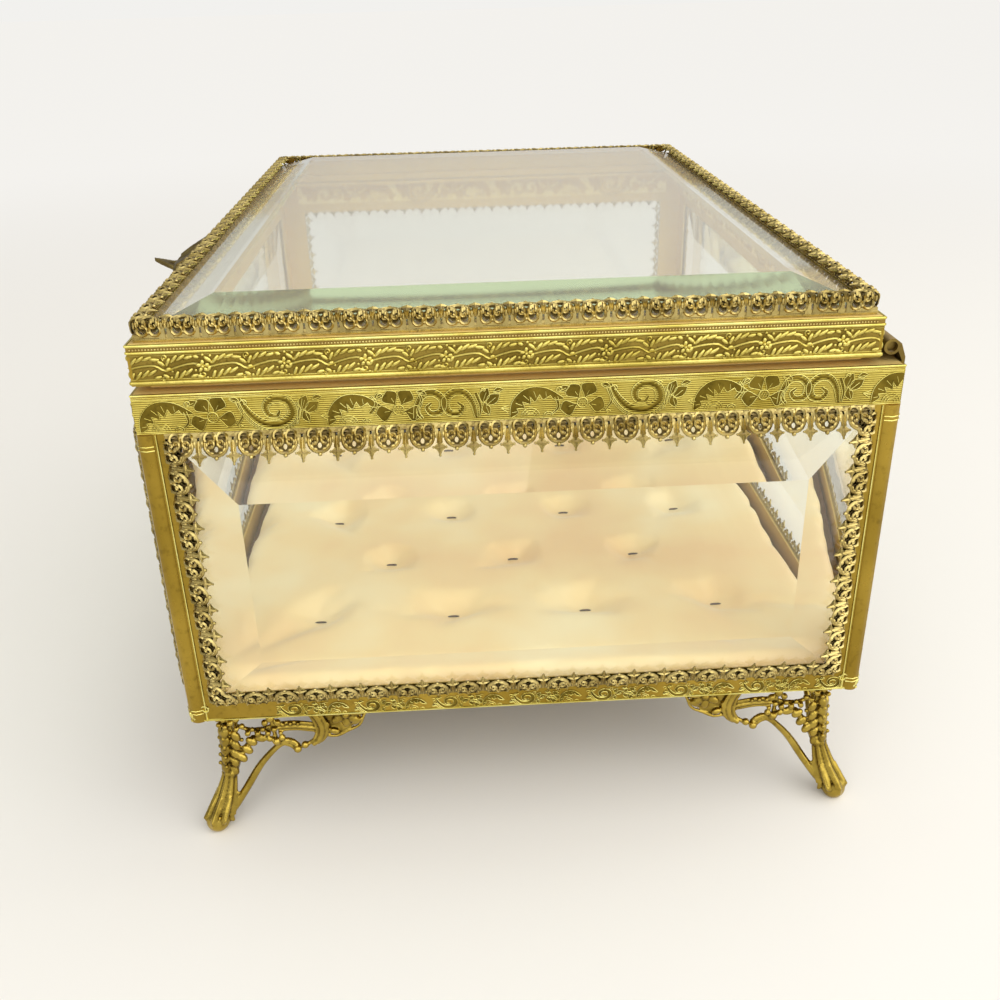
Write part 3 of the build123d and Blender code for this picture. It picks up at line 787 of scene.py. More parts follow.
def beside(points, shifts, height):
    # a line that keeps a distance to the left of another
    line = []
    for number, point in enumerate(points):
        before = Vector(points[max(number - 1, 0)][:2])
        after = Vector(points[min(number + 1, len(points) - 1)][:2])
        way = (after - before).normalized()
        place = Vector(point[:2]) + Vector((-way.y, way.x)) * shifts[number]
        line.append((place.x, place.y, height))
    return line


def ribboned(art, path, widths, height, extra=()):
    # a flat ribbon between two bright cut lines, with more lines along its left side
    art["ribbons"].append((path, widths))
    for side in (-1, 1):
        art["lines"].append((beside(path, [side * w for w in widths], height), 0.085))
    for gap, first, last in extra:
        part = slice(first, last)
        art["lines"].append((beside(path, [w + gap for w in widths], height)[part], 0.065))


def petalled(art, centre, reach, angles, height):
    # an open flower: broad flat petals with bright rims round a hatched eye
    for angle in angles:
        way, middle = towards(angle), Vector(centre)
        petal = leafShape(middle + way * reach * 0.22, middle + way * reach, reach * 0.74, 0.25, 1.45)
        crease = [(*(middle + way * reach * share), height + 0.02) for share in (0.4, 0.62)]
        art["flats"].append(petal)
        art["lines"] += [(rimOf(petal, height), 0.07), (crease, 0.05)]
    art["lines"].append((arc(centre, reach * 0.23, 0, 360, 12, height + 0.03), 0.11))
    for shift in (-0.11, 0.0, 0.11):
        x, y = centre[0] + shift * reach, centre[1]
        hatch = [(x - 0.06 * reach, y - 0.14 * reach, height), (x + 0.06 * reach, y + 0.14 * reach, height)]
        art["lines"].append((hatch, 0.06))


def scrolled(art, centre, size, mirror, height):
    # a ribbon that sweeps down, round and in on itself
    path = bendThrough([
        (centre[0] + mirror * u * size, centre[1] + v * size) for u, v in (
            (-6.4, 2.5), (-5.0, -0.2), (-2.6, -2.4), (0.6, -2.7), (2.9, -0.9), (2.3, 1.6), (0.0, 2.3),
            (-1.8, 1.1), (-1.5, -0.7), (0.0, -1.1), (0.7, -0.1),
        )
    ], 4)
    widths = [size * (0.2 + 0.72 * math.sin(math.pi * (n / 40) ** 0.7)) for n in range(41)]
    ribboned(art, path, widths, height, ((0.3 * mirror, 0, 22), (0.6 * mirror, 2, 18)) if mirror < 0 else ())
    if mirror > 0:
        for gap in (0.3, 0.6):
            art["lines"].append((beside(path, [-w - gap for w in widths], height)[:20], 0.065))


def curled(art, centre, size, side, height):
    # one of a pair of opposed curls
    path = bendThrough([
        (centre[0] + side * u * size, centre[1] + v * size) for u, v in (
            (3.6, -2.6), (3.0, 0.2), (1.6, 2.2), (-0.4, 2.4), (-1.9, 0.9), (-1.5, -1.2), (0.2, -1.7),
            (1.2, -0.5), (0.3, 0.4),
        )
    ], 4)
    widths = [size * (0.22 + 0.5 * math.sin(math.pi * (n / 32) ** 0.8)) for n in range(33)]
    ribboned(art, path, widths, height)


def lobed(art, lobes, height):
    # overlapping round leaves, each as place, length, width and lean
    for u, v, long, wide, lean in lobes:
        way, middle = towards(lean), Vector((u, v))
        leaf = leafShape(middle - way * long / 2, middle + way * long / 2, wide, 0.15, 1.0)
        vein = [(*place, height + 0.02) for place in (middle - way * long * 0.42, middle + way * long * 0.2)]
        art["flats"].append(leaf)
        art["lines"] += [(rimOf(leaf, height), 0.07), (vein, 0.06)]


def leafed(art, path, width, teeth, height):
    # an arched acanthus leaf: one smooth edge, one cut into lobes, and its veins
    steps = len(path) - 1
    smooth, cut = [], []
    for step in range(steps + 1):
        share = step / steps
        half = width * (0.2 + 0.8 * math.sin(math.pi * share**0.9))
        smooth.append(half * 0.45)
        cut.append(-half * (0.45 + 0.75 * abs(math.sin(math.pi * teeth * share))))
    outer, inner = beside(path, smooth, height), beside(path, cut, height)
    art["flats"].append([p[:2] for p in outer] + [p[:2] for p in inner[::-1]])
    art["lines"] += [(outer, 0.08), (inner, 0.08), (path, 0.06)]
    for number in range(1, teeth):
        step = round(steps * (number - 0.5) / teeth)
        root, edge = Vector(path[step][:2]), Vector(inner[min(step + 1, steps)][:2])
        art["lines"].append(([(root.x, root.y, height), (*(root.lerp(edge, 0.75)), height)], 0.055))


def hilled(art, foot, radii, height):
    # half rings, one over the other
    for radius in radii:
        art["lines"].append((arc(foot, radius, 4, 176, 9, height), 0.08))


def artPieces(art, height):
    # the drawing as metal: flats and flattened ribbons a hair into the sheet, and cut lines on top
    sunk = 0.02
    ribbons = wires(art["ribbons"], 0)
    for vertex in ribbons.data.vertices:
        vertex.co.z = min(max(vertex.co.z, -sunk), height)
    flats = [plate(outline, -sunk, height - sunk) for outline in art["flats"]]
    cut = []
    for path, radius in art["lines"]:
        wide = [r * art["bold"] for r in radius] if isinstance(radius, list) else radius * art["bold"]
        cut.append((path, wide))
    return [paint(piece, flatGilt) for piece in flats + [ribbons]] + [paint(wires(cut, 0), cutGilt)]


def ruledGround(length, low, high, pitch):
    # sheet ruled with fine lines along its length: each second row of a grid is raised
    ridge, groove, thickness = 0.11, 0.03, 0.1
    rows = 2 * round((high - low) / pitch)
    bpy.ops.mesh.primitive_grid_add(x_subdivisions=1, y_subdivisions=rows, size=1)
    piece = bpy.context.object
    for vertex in piece.data.vertices:
        row = round((vertex.co.y + 0.5) * rows)
        u, v = vertex.co.x + 0.5, vertex.co.y + 0.5
        vertex.co = (u * length, low + v * (high - low), ridge if row % 2 else groove)
    return paint(storeRelief(raised(piece, -thickness), 0.0, ridge), ruledGilt)


engravedBand = {
    "repeat": 66.8,
    "high": caseHigh.z - galleryHigh.z,
    "pitch": 0.4,  # from one ruled line to the next
    "flat": 0.15,  # how far the engraving stands out
    "bold": 1.45,  # how much wider than drawn its lines are cut
    "sheet": 0.8,  # thickness of the wall
    "inset": 6.0,  # how far from a wall's ends the pattern begins on its inside
}


def bandRepeat():
    band = engravedBand
    top = band["flat"]
    art = {"flats": [], "ribbons": [], "lines": [], "bold": band["bold"]}
    for start, petals in ((14.0, (62, 122, 196, -14)), (14.0 + 33.4, (58, 118, 188, -20))):
        petalled(art, (start, 2.9), 4.2, petals, top)
        lobed(art, ((start - 3.4, 5.6, 2.2, 1.1, 25), (start + 4.2, 5.9, 2.0, 1.0, -20)), top)
    scrolled(art, (25.4, 3.75), 0.98, 1, top)
    curled(art, (53.6, 3.5), 0.95, -1, top)
    curled(art, (57.8, 3.4), 1.0, 1, top)
    for start in (31.4, 64.0):
        lobed(art, (
            (start - 0.9, 5.0, 3.0, 1.9, 70), (start + 0.5, 4.1, 3.2, 2.0, 40),
            (start - 0.6, 2.4, 2.6, 1.5, 110), (start + 1.5, 5.8, 1.9, 1.0, 15),
        ), top)
        for lean in (-35, -10, 20):
            place = Vector((start + 1.9, 2.4))
            art["lines"].append(([(*place, top), (*(place + towards(lean) * 1.5), top)], 0.09))
    for start in (34.6, 0.9):
        leafed(art, bendThrough([(start, 0.5), (start + 0.9, 3.2), (start + 3.2, 5.2), (start + 6.4, 5.3),
                                 (start + 9.6, 3.8)], 6), 1.9, 6, top)
        hilled(art, (start + 3.6, 0.5), (0.7, 1.2, 1.7), top)
        hilled(art, (start + 6.9, 0.5), (0.5, 0.9), top)
    # small vines fill what is left
    for vine, size in (
        ([(18.2, 1.2), (19.4, 3.2), (18.6, 5.6)], 0.3), ([(8.4, 0.8), (9.6, 2.2), (9.2, 4.2)], 0.28),
        ([(29.0, 0.9), (29.4, 3.0), (30.0, 5.9)], 0.28), ([(42.6, 5.8), (43.4, 4.2), (42.2, 2.4)], 0.28),
        ([(51.2, 5.9), (51.6, 4.4), (50.8, 2.4), (51.6, 1.0)], 0.28),
        ([(62.0, 0.9), (62.2, 3.0), (61.4, 5.4)], 0.3),
    ):
        widths = [size * (0.4 + 0.6 * math.sin(math.pi * n / 20)) for n in range(21)]
        ribboned(art, bendThrough(vine, 5), widths, top)
    for place, size, start, turns in (
        ((19.9, 5.4), 0.9, 200, -1.0), ((9.9, 5.6), 0.8, 230, -1.0), ((44.3, 5.6), 0.8, 200, -0.9),
        ((28.0, 6.0), 0.6, 20, 0.9), ((62.9, 6.0), 0.6, 200, -0.9), ((18.7, 0.9), 0.5, 0, 0.9),
    ):
        art["lines"].append((curl(place, size, size * 0.2, start, turns, 9, top), 0.1))
    ground = ruledGround(band["repeat"], 0.2, band["high"] - 1.0, band["pitch"])
    return joinUp("band repeat", [ground] + artPieces(art, top))


def straightLine(length, v, height, radius):
    # a run for wires
    return [(0, v, height), (length, v, height)], radius


bandUnit = bandRepeat()
for wall, (out, foot, halfWall) in walls.items():
    band = engravedBand
    length, high = 2 * halfWall, band["high"]
    run = repeated(copyOf(bandUnit, "band"), math.ceil(length / band["repeat"]), band["repeat"])
    cutBeyond(run, (length - 0.1, 0, 0), (1, 0, 0))
    edges = wires([
        straightLine(length, high - 0.95, 0.03, 0.1), straightLine(length, high - 0.65, 0.03, 0.1),
        straightLine(length, high - 0.22, -0.02, 0.24), straightLine(length, 0.12, 0.0, 0.12),
    ])
    run = joinUp("band", [run, paint(edges, cutGilt)])
    along = up.cross(out)
    start = foot - along * halfWall + up * galleryHigh.z
    # the pressed pattern shows on the inside of the sheet too
    reverse = repeated(copyOf(bandUnit, "reverse"), math.ceil(length / band["repeat"]), band["repeat"])
    cutBeyond(reverse, (length - band["inset"], 0, 0), (1, 0, 0))
    cutBeyond(reverse, (band["inset"], 0, 0), (-1, 0, 0))
    reverse.data.transform(Matrix.Translation((0, 0, -band["sheet"])) @ Matrix.Scale(-1, 4, (0, 0, 1)))
    reverse.data.flip_normals()
    run = joinUp("band", [run, paint(reverse, pressedGilt)])
    setDown(run, f"engraved_band_{wall}", axesAt(start, along, up, out), "casket")
drop(bandUnit)
print("top bands engraved")

post = {"round": 2.7, "rise": 0.5, "bead": 3.2}  # width and height of the rounded band, place of the bead


def postMoulding(height):
    # a rounded band by the corner and a bead inside it, all up the post, with rings at both ends
    reach, rise, start = post["round"], post["rise"], 0.08
    rounded = [(0.06, -0.02)]
    for step in range(9):
        share = step / 8
        rounded.append((start + (reach - start) * share, 0.1 + rise * math.sin(math.pi * share) ** 0.8))
    rounded += [(reach, -0.02)]
    strip = paint(plate(rounded, 0, height), giltSheet)
    bead = paint(wires([([(post["bead"], 0.06, 0), (post["bead"], 0.06, height)], 0.2)]), cutGilt)
    rails = []
    for level in (2.2, 3.0, height - 2.2, height - 3.0):
        rails.append(([(0.2, 0.3, level), (reach / 2, 0.72, level), (reach, 0.3, level)], 0.12))
    return joinUp("post", [strip, bead, paint(wires(rails), cutGilt)])


def cornerLeaf():
    # an acanthus curl where the post meets the sill
    lobes = []
    for number in range(5):
        angle = math.radians(15 + 24 * number)
        reach = 2.0 + 0.25 * (number % 2)
        middle = (0.6 + 0.5 * reach * math.cos(angle), 0.6 + 0.5 * reach * math.sin(angle), 0.1)
        lobes.append(ball(middle, 1, (reach * 0.55, 0.42, 0.3), angle, (8, 6)))
    lobes.append(ball((0.9, 0.9, 0.16), 0.62, (1, 1, 0.6), 0, (8, 6)))
    lobes.append(wires([(curl((3.1, 2.9), 1.3, 0.3, 200, -1.1, 9, 0.12), 0.2)]))
    return paint(joinUp("corner leaf", lobes), cutGilt)


silled = {
    "start": 17.0,  # the engraving keeps this far from a wall's left end, and this far from its right
    "end": 3.2,
    "repeat": 16.2,
    "height": galleryLow.z - caseLow.z,
    "bold": 0.68,
    "sharpest": 40,  # degrees
}


def sillRepeat():
    # the gallery hides the upper part of the sill, so the engraving keeps to its lower two thirds
    middle, top = 1.85, 0.15
    art = {"flats": [], "ribbons": [], "lines": [], "bold": silled["bold"]}
    scrolled(art, (4.2, middle), 0.44, 1, top)
    lobed(art, (
        (6.8, middle + 0.6, 1.4, 0.9, 60), (7.6, middle + 0.1, 1.5, 0.9, 30), (6.7, 0.9, 1.2, 0.8, 110),
    ), top)
    petalled(art, (9.7, middle), 1.5, (50, 130, 200, -20, 270), top)
    arch = [(11.2, 0.5), (11.7, 1.9), (12.9, 2.8), (14.4, 2.6), (15.6, 1.7)]
    leafed(art, bendThrough(arch, 4), 0.8, 4, top)
    hilled(art, (13.0, 0.5), (0.45, 0.85), top)
    hilled(art, (14.7, 0.5), (0.4,), top)
    lobed(art, ((1.2, 1.2, 1.3, 0.7, 20), (8.6, 3.0, 1.1, 0.5, -10), (2.0, 2.9, 1.1, 0.5, 15)), top)
    curls = (((5.9, 3.1), 0.5, 200, -0.9), ((10.9, 3.0), 0.5, 30, 0.9), ((1.0, 2.6), 0.5, 160, -0.9))
    for place, size, start, turns in curls:
        art["lines"].append((curl(place, size, size * 0.2, start, turns, 8, top), 0.09))
    return cutBeyond(joinUp("sill repeat", artPieces(art, top)), (0, 0.45, 0), (0, -1, 0))


sillUnit, leafUnit = sillRepeat(), cornerLeaf()
postHeight = galleryHigh.z - galleryLow.z + silled["height"] - 0.1
postUnit = postMoulding(postHeight)
standing = Matrix(((1, 0, 0, 0), (0, 0, 1, 0), (0, 1, 0, 0), (0, 0, 0, 1)))  # its length turns upright
for wall, (out, foot, halfWall) in walls.items():
    length = 2 * halfWall
    sill = repeated(copyOf(sillUnit, "sill"), math.ceil((length - silled["start"]) / silled["repeat"]),
                    silled["repeat"])
    sill.data.transform(Matrix.Translation((silled["start"], 0, 0)))
    cutBeyond(sill, (length - silled["end"], 0, 0), (1, 0, 0))
    left = copyOf(postUnit, "post")
    left.data.transform(standing)
    right = copyOf(left, "post")
    left.data.flip_normals()
    right.data.transform(mirroredAt(length))
    leftLeaf, rightLeaf = copyOf(leafUnit, "leaf"), copyOf(leafUnit, "leaf")
    rightLeaf.data.transform(mirroredAt(length))
    rightLeaf.data.flip_normals()
    rim = paint(wires([straightLine(length, 0.24, 0.0, 0.26)]), cutGilt)
    trim = smoothed(joinUp("trim", [sill, left, right, leftLeaf, rightLeaf, rim]), silled["sharpest"])
    along = up.cross(out)
    start = foot - along * halfWall + up * caseLow.z
    setDown(trim, f"post_and_sill_{wall}", axesAt(start, along, up, out), "casket")
drop(sillUnit, leafUnit, postUnit)
print("posts and sills moulded")


# the lid's garland and beaded ledge

garland = {
    "repeat": 14.3, "height": lidBand[1] - lidBand[0],
    "top": 1.95,  # the beaded moulding takes this much of the band
    "bead": 0.55,  # from one bead to the next
    "sharpest": 60,  # degrees
}


def garlandRepeat():
    # broad leaves in rows above and below a winding stem, with curls, berries and a small flower
    parts = []
    for x, y, long, lean in (
        (1.0, 4.6, 1.1, 48), (2.1, 5.0, 1.15, 34), (3.4, 5.1, 1.1, 18), (4.7, 4.9, 1.05, -8),
        (5.8, 4.2, 1.0, -38), (0.5, 1.9, 1.0, 66), (1.6, 2.0, 1.15, 52), (2.8, 2.3, 1.2, 42),
        (4.0, 2.5, 1.15, 30), (4.9, 1.6, 0.9, 8), (7.0, 4.4, 0.95, 62), (8.1, 4.9, 1.1, 48),
        (9.3, 5.1, 1.1, 32), (10.6, 5.1, 1.0, 12), (14.0, 4.7, 1.0, -40), (8.2, 1.9, 1.0, 62),
        (9.3, 2.0, 1.15, 48), (10.4, 2.4, 1.15, 38), (11.3, 1.7, 0.9, 14), (6.4, 1.8, 0.8, -34),
        (14.0, 2.9, 0.8, 58), (12.3, 1.6, 0.75, -20), (6.9, 3.1, 0.6, 10), (12.0, 5.2, 0.7, -24),
    ):
        parts.append(ball((x, y, 0.1), 1, (long, 0.4, 0.38), math.radians(lean), (6, 5)))
    flowerX, flowerY, petalReach = 13.0, 3.4, 0.75
    for number in range(5):
        angle = math.radians(90 + 72 * number)
        place = (flowerX + petalReach * math.cos(angle), flowerY + petalReach * math.sin(angle), 0.18)
        parts.append(ball(place, 1, (0.58, 0.42, 0.3), angle, (6, 4)))
    parts.append(ball((flowerX, flowerY, 0.36), 0.34, (1, 1, 0.8), rings=(6, 4)))
    berries = ((0.2, 5.3, 0.32), (13.2, 5.5, 0.32), (7.3, 1.5, 0.32), (13.6, 1.3, 0.28), (6.8, 3.9, 0.3),
               (11.7, 2.7, 0.3), (0.3, 4.1, 0.26), (7.6, 2.6, 0.24))
    for x, y, size in berries:
        parts.append(ball((x, y, 0.14), size, (1, 1, 0.8), 0, (6, 4)))
    stem = [(0, 3.2), (2.0, 3.6), (4.6, 3.7), (6.4, 2.7), (8.4, 3.3), (11.4, 3.9), (garland["repeat"], 3.2)]
    parts.append(wires([
        (bendThrough(stem, 3, 0.14), 0.24), (curl((6.5, 5.2), 0.62, 0.2, 240, -1.1, 7, 0.12), 0.2),
        (curl((12.9, 1.9), 0.62, 0.2, 150, 0.9, 7, 0.12), 0.2),
        (curl((5.9, 1.3), 0.5, 0.2, 30, -0.9, 6, 0.1), 0.17),
    ], 0))
    return storeRelief(paint(joinUp("garland repeat", parts), embossedGilt), -0.02, 0.32)


garlandUnit = garlandRepeat()
beadUnit = storeRelief(paint(joinUp("bead", [ball((0, 0, 0.02), 0.23, rings=(6, 4))]), beadedGilt), 0.0, 0.2)
for wall, (out, foot, halfWall) in lidWalls.items():
    length = 2 * halfWall
    count = math.ceil(length / garland["repeat"])
    spray = repeated(copyOf(garlandUnit, "garland"), count, garland["repeat"])
    cutBeyond(spray, (length - 0.6, 0, 0), (1, 0, 0))
    cutBeyond(spray, (0.6, 0, 0), (-1, 0, 0))
    low, high = 1.1, garland["height"] - garland["top"]
    lines = storeRelief(wires([
        straightLine(length, 0.55, 0.0, 0.42), straightLine(length, low + 0.05, 0.0, 0.1),
        straightLine(length, high - 0.15, 0.0, 0.1),
    ]), -0.3, 0.3)
    # a ground behind the leaves, in the matted colour whose darkness is painted shade between them
    ground = plate([(0.5, low), (length - 0.5, low), (length - 0.5, high), (0.5, high)], -0.02, 0.02)
    spray = joinUp("garland", [spray, paint(lines, embossedGilt), paint(ground, mattedGilt)])
    smoothed(spray, garland["sharpest"])
    along = up.cross(out)
    start = foot - along * halfWall + up * lidBand[0]
    setDown(spray, f"garland_{wall}", axesAt(start, along, up, out), "lid")
    # a row of fine beads between two broad rails, under the lid's top edge
    row = garland["height"] - 0.5 * garland["top"]
    beads = repeated(copyOf(beadUnit, "beads"), int((length - 1.2) / garland["bead"]), garland["bead"])
    beads.data.transform(Matrix.Translation((0.75, row, 0.02)))
    left, right, low, high = 0.1, length - 0.1, row - 0.4, row + 0.4
    rails = wires([
        ([(left, row + v, z), (right, row + v, z)], 0.32) for v, z in ((-0.6, 0.0), (0.62, -0.02))
    ])
    # the channel under the beads takes the tan recess colour: painted shade between the beads as well as
    # tarnish
    channel = paint(plate([(left, low), (right, low), (right, high), (left, high)], -0.05, 0.03), beadedGilt)
    beads = joinUp("beads", [beads, paint(rails, cutGilt), storeRelief(channel, 0.05, 0.3)])
    setDown(beads, f"beaded_moulding_{wall}", axesAt(start, along, up, out), "lid")
drop(garlandUnit, beadUnit)
print("lid band embossed")


# cast feet. A wing is drawn on a plane: u inwards along a wall, v up from the case's underside
castFoot = {
    "planeIn": 4.9,  # middle of a wing, in from the case's face
    "grain": 0.2,  # voxel that melts the drawn shapes into one casting
    "most": 90000,  # triangles
    "height": caseLow.z,
    "toe": (1.2, 1.2, -27.9),
    "toeRadius": 2.6,
}


def wingShapes():
    # w stands out of the plane towards the front
    stem = bendThrough([(6.0, -0.4), (6.2, -6), (5.6, -12), (4.9, -19)], 4)
    runs = [
        (stem, 0.6),
        (bendThrough([(11.2, -8.6), (9.0, -11), (7.0, -14.4), (5.4, -19)], 4, 0.1),
         [0.75 - 0.02 * n for n in range(13)]),
        (bendThrough([(7.6, -5.4), (10.5, -6.6), (14, -6.2), (17, -4.9)], 4), 0.5),
        (bendThrough([(10.2, -8.6), (12.0, -8.8), (15.6, -9.4)], 4), 0.5),
        (bendThrough([(15.3, -0.4), (15.1, -4.5), (15.6, -9.4)], 4), 0.5),
    ]
    # the arm's shaft of three ribs
    for shift, out in ((-0.85, 0.3), (0.05, 0.6), (0.95, 0.3)):
        shaft = [(16.4, -6.0 + shift), (20, -5.9 + shift), (24.4, -6.6 + shift)]
        runs.append((bendThrough(shaft, 4, out), 0.42))
    # a scroll in three ridges that holds the flower at the bracket's end
    scroll = [(20.6, -0.5), (23.3, -2.6), (24.8, -6.3), (24.2, -9.3), (22.5, -10.8)]
    for shift, size, out in ((-0.1, 0.5, 0.5), (0.95, 0.62, 0.9), (2.0, 0.5, 0.6)):
        runs.append((bendThrough([(u + shift, v + 0.1 * shift) for u, v in scroll], 4, out), size))
    # the long brace, ridged along its length, from a curled tip down to the toe. It leans out of the
    # wing's plane to meet the toe
    brace = [(20, -11.7), (18.6, -10.3), (16.6, -10.4), (12.2, -15), (8.6, -20.5), (5.4, -25.0), (3.2, -27.6)]
    leansBelow, leaning = -19, 0.32
    for shift in (-0.35, 0.35):
        path = bendThrough([(u + shift, v + shift) for u, v in brace], 4)
        lean = [(u, v, 0.35 + max(0.0, leansBelow - v) * leaning) for u, v, w in path]
        runs.append((lean, [0.62 + 0.012 * n for n in range(len(path))]))
    rim = [(26.2, -9.0), (28.8, -9.3), (31.2, -8.1), (33.8, -6.7), (34.9, -4.3), (35.7, -2.4), (35.2, -0.5)]
    runs.append((bendThrough(rim, 3, 0.1), 0.36))
    runs.append((bendThrough([(20.4, -0.55), (28, -0.6), (35.2, -0.5)], 4, 0.1), 0.42))
    shapes = [wires(runs, 1)]
    # petals of the flower at the bracket's end, leaves round it and the web that they lie on
    flowerU, flowerV = 31.2, -3.1
    petals = ((8, 2.3, 1.7, 0.85), (-40, 2.0, 1.45, 0.95), (-92, 2.0, 1.5, 0.95), (-146, 2.2, 1.6, 0.95),
              (-196, 2.3, 1.7, 0.9), (95, 1.5, 0.9, 0.8))
    for degrees, reach, long, wide in petals:
        angle = math.radians(degrees)
        place = (flowerU + reach * math.cos(angle), flowerV + reach * math.sin(angle), 0.75)
        shapes.append(ball(place, 1, (long, wide, 0.7), angle, (12, 8)))
    leaves = ((27.0, -1.5, 1.8, 0.75, 8), (26.6, -6.4, 1.5, 0.9, 70), (28.4, -7.7, 1.2, 0.8, -20),
              (34.3, -2.2, 1.3, 0.8, 60), (33.2, -5.3, 1.3, 0.8, 30))
    for u, v, long, wide, lean in leaves:
        shapes.append(ball((u, v, 0.45), 1, (long, wide, 0.7), math.radians(lean), (10, 7)))
    web = [(24.6, -0.4), (35.0, -0.4), (35.0, -3), (33.0, -6.4), (30, -8.5), (26.2, -8.7), (25, -6)]
    shapes.append(plate(web, -0.6, 0.0))
    for u, v, size in (
        # buds and petals of the stem's flower
        (4.4, -1.3, 0.9), (6.6, -1.2, 0.95), (5.2, -2.9, 0.8), (7.9, -2.9, 0.9), (4.0, -4.3, 0.65),
        (6.6, -3.9, 0.85), (8.9, -4.9, 0.75), (8.6, -1.5, 0.6), (3.6, -2.6, 0.55), (7.6, -5.6, 0.7),
        (5.3, -4.9, 0.65), (6.3, -2.4, 0.5),
        # the arm's string of buds
        (9.9, -6.9, 0.75), (11.0, -5.9, 0.65), (12.0, -7.1, 0.8), (13.2, -6.0, 0.7), (14.2, -7.1, 0.75),
        (15.6, -6.2, 0.75), (16.9, -7.2, 0.6),
        # the flower below it and the cluster that reaches up to the case
        (15.8, -9.4, 1.0), (17.1, -8.4, 0.85), (14.4, -8.6, 0.8), (15.2, -1.1, 1.05), (13.7, -2.1, 0.95),
        (16.6, -2.2, 1.0), (15.1, -3.2, 1.05), (13.8, -4.3, 0.85), (16.5, -4.4, 0.9),
        # bumps on the shaft and curled tips
        (17.6, -5.0, 0.5), (19.2, -4.9, 0.5), (20.8, -5.0, 0.45), (21.8, -10.7, 0.95),
        (20.1, -11.7, 1.05),
    ):
        shapes.append(ball((u, v, 0.9), size * 0.92, (1, 1, 0.95), 0, (10, 7)))
    shapes.append(ball((flowerU, flowerV, 1.25), 0.85, (1, 1, 0.9), 0, (12, 8)))
    # pairs of leaves down the stem and down the bracket beside it, and a bud at each fork
    for u, v, lean in (
        (5.0, -6.6, -112), (7.2, -7.6, -66), (4.9, -8.9, -112), (6.9, -10.0, -68), (4.6, -11.2, -110),
        (6.5, -12.3, -70), (4.3, -13.5, -108), (6.1, -14.6, -72), (4.0, -15.8, -106), (5.8, -16.8, -76),
        (10.4, -9.2, -40), (9.3, -11.3, -48), (7.9, -13.4, -54), (12.6, -8.4, -10),
    ):
        shapes.append(ball((u, v, 0.75), 1, (1.45, 0.98, 0.8), math.radians(lean), (12, 8)))
    forks = ((8.3, -8.9), (7.7, -11.3), (7.0, -13.7), (3.6, -7.9), (3.5, -10.2), (3.2, -12.5), (2.9, -14.8))
    for u, v in forks:
        shapes.append(ball((u, v, 0.4), 0.5, (1, 1, 1), 0, (8, 6)))
    return shapes


def legShapes():
    # a sheath of acanthus lobes that opens over the ball
    knee = [(5.2, 5.2, -14), (4.5, 4.5, -18.5), (3.1, 3.1, -23), (1.6, 1.6, -26.6)]
    line = [Vector(p) for p in bendThrough(knee, 4)]
    shapes = [wires([(line, [1.1 + 0.6 * (n / 12) ** 2 for n in range(13)])], 2)]
    runs = []
    for number in range(7):
        angle = math.radians(360 / 7 * number + 45)
        way = Vector((math.cos(angle), math.sin(angle), 0))
        drop = 1.9 if number % 2 else 0.9
        lobe = [line[2] + way * 1.1, line[7] + way * 1.75, line[10] + way * 2.25,
                line[12] + way * 2.6 - up * 0.2, line[12] + way * (2.9 if number % 2 else 2.7) - up * drop]
        path = bendThrough(lobe, 4)
        runs.append((path, [0.4 + 0.5 * math.sin(math.pi * n / (len(path) - 1)) for n in range(len(path))]))
        # a vein on each lobe
        runs.append((bendThrough([place + way * 0.8 for place in lobe[1:4]], 4), 0.26))
    shapes.append(wires(runs, 1))
    shapes.append(ball(castFoot["toe"], castFoot["toeRadius"], rings=(28, 18)))
    # buds round the knee
    kneeMiddle, kneeRadius = 4.7, 1.35
    for number in range(7):
        angle = math.radians(360 / 7 * number)
        place = (kneeMiddle + kneeRadius * math.cos(angle), kneeMiddle + kneeRadius * math.sin(angle), -17.4)
        shapes.append(ball(place, 0.62, (1, 1, 1.3), 0, (8, 6)))
    return shapes


def melted(piece, grain, most):
    # one closed skin round everything that was drawn
    withModifier(piece, "REMESH", mode="VOXEL", voxel_size=grain)
    withModifier(piece, "SMOOTH", factor=0.5, iterations=1)
    triangles = sum(len(face.vertices) - 2 for face in piece.data.polygons)
    if triangles > most:
        withModifier(piece, "DECIMATE", ratio=most / triangles)
    return smoothed(piece)


def castFootOnce():
    # the corner is at nought. The second wing is the first one mirrored over the corner's diagonal
    wing = joinUp("wing", wingShapes())
    inPlane = castFoot["planeIn"]
    wing.data.transform(Matrix(((1, 0, 0, 0), (0, 0, -1, inPlane), (0, 1, 0, 0), (0, 0, 0, 1))))
    other = copyOf(wing, "other wing")
    other.data.transform(Matrix(((0, 1, 0, 0), (1, 0, 0, 0), (0, 0, 1, 0), (0, 0, 0, 1))))
    other.data.flip_normals()
    foot = melted(joinUp("foot", [wing, other] + legShapes()), castFoot["grain"], castFoot["most"])
    cutBeyond(foot, (0, 0, -castFoot["height"]), (0, 0, -1))
    cutBeyond(foot, (0, 0, -0.01), (0, 0, 1))
    return paint(foot, castGilt)


footUnit = castFootOnce()
for end, sideX in (("left", -1), ("right", 1)):
    for depth, sideY in (("front", -1), ("back", 1)):
        node = f"foot_{depth}_{end}"
        corner = Vector((
            caseHigh.x if sideX > 0 else caseLow.x, caseHigh.y if sideY > 0 else caseLow.y, caseLow.z,
        ))
        place = Matrix.Scale(mm, 4) @ Matrix.Translation(corner) @ Matrix.Diagonal((-sideX, -sideY, 1, 1))
        foot = setDown(copyOf(footUnit, node), f"cast_{node}", place, "casket")
        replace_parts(foot, node)
drop(footUnit)
print("feet cast")


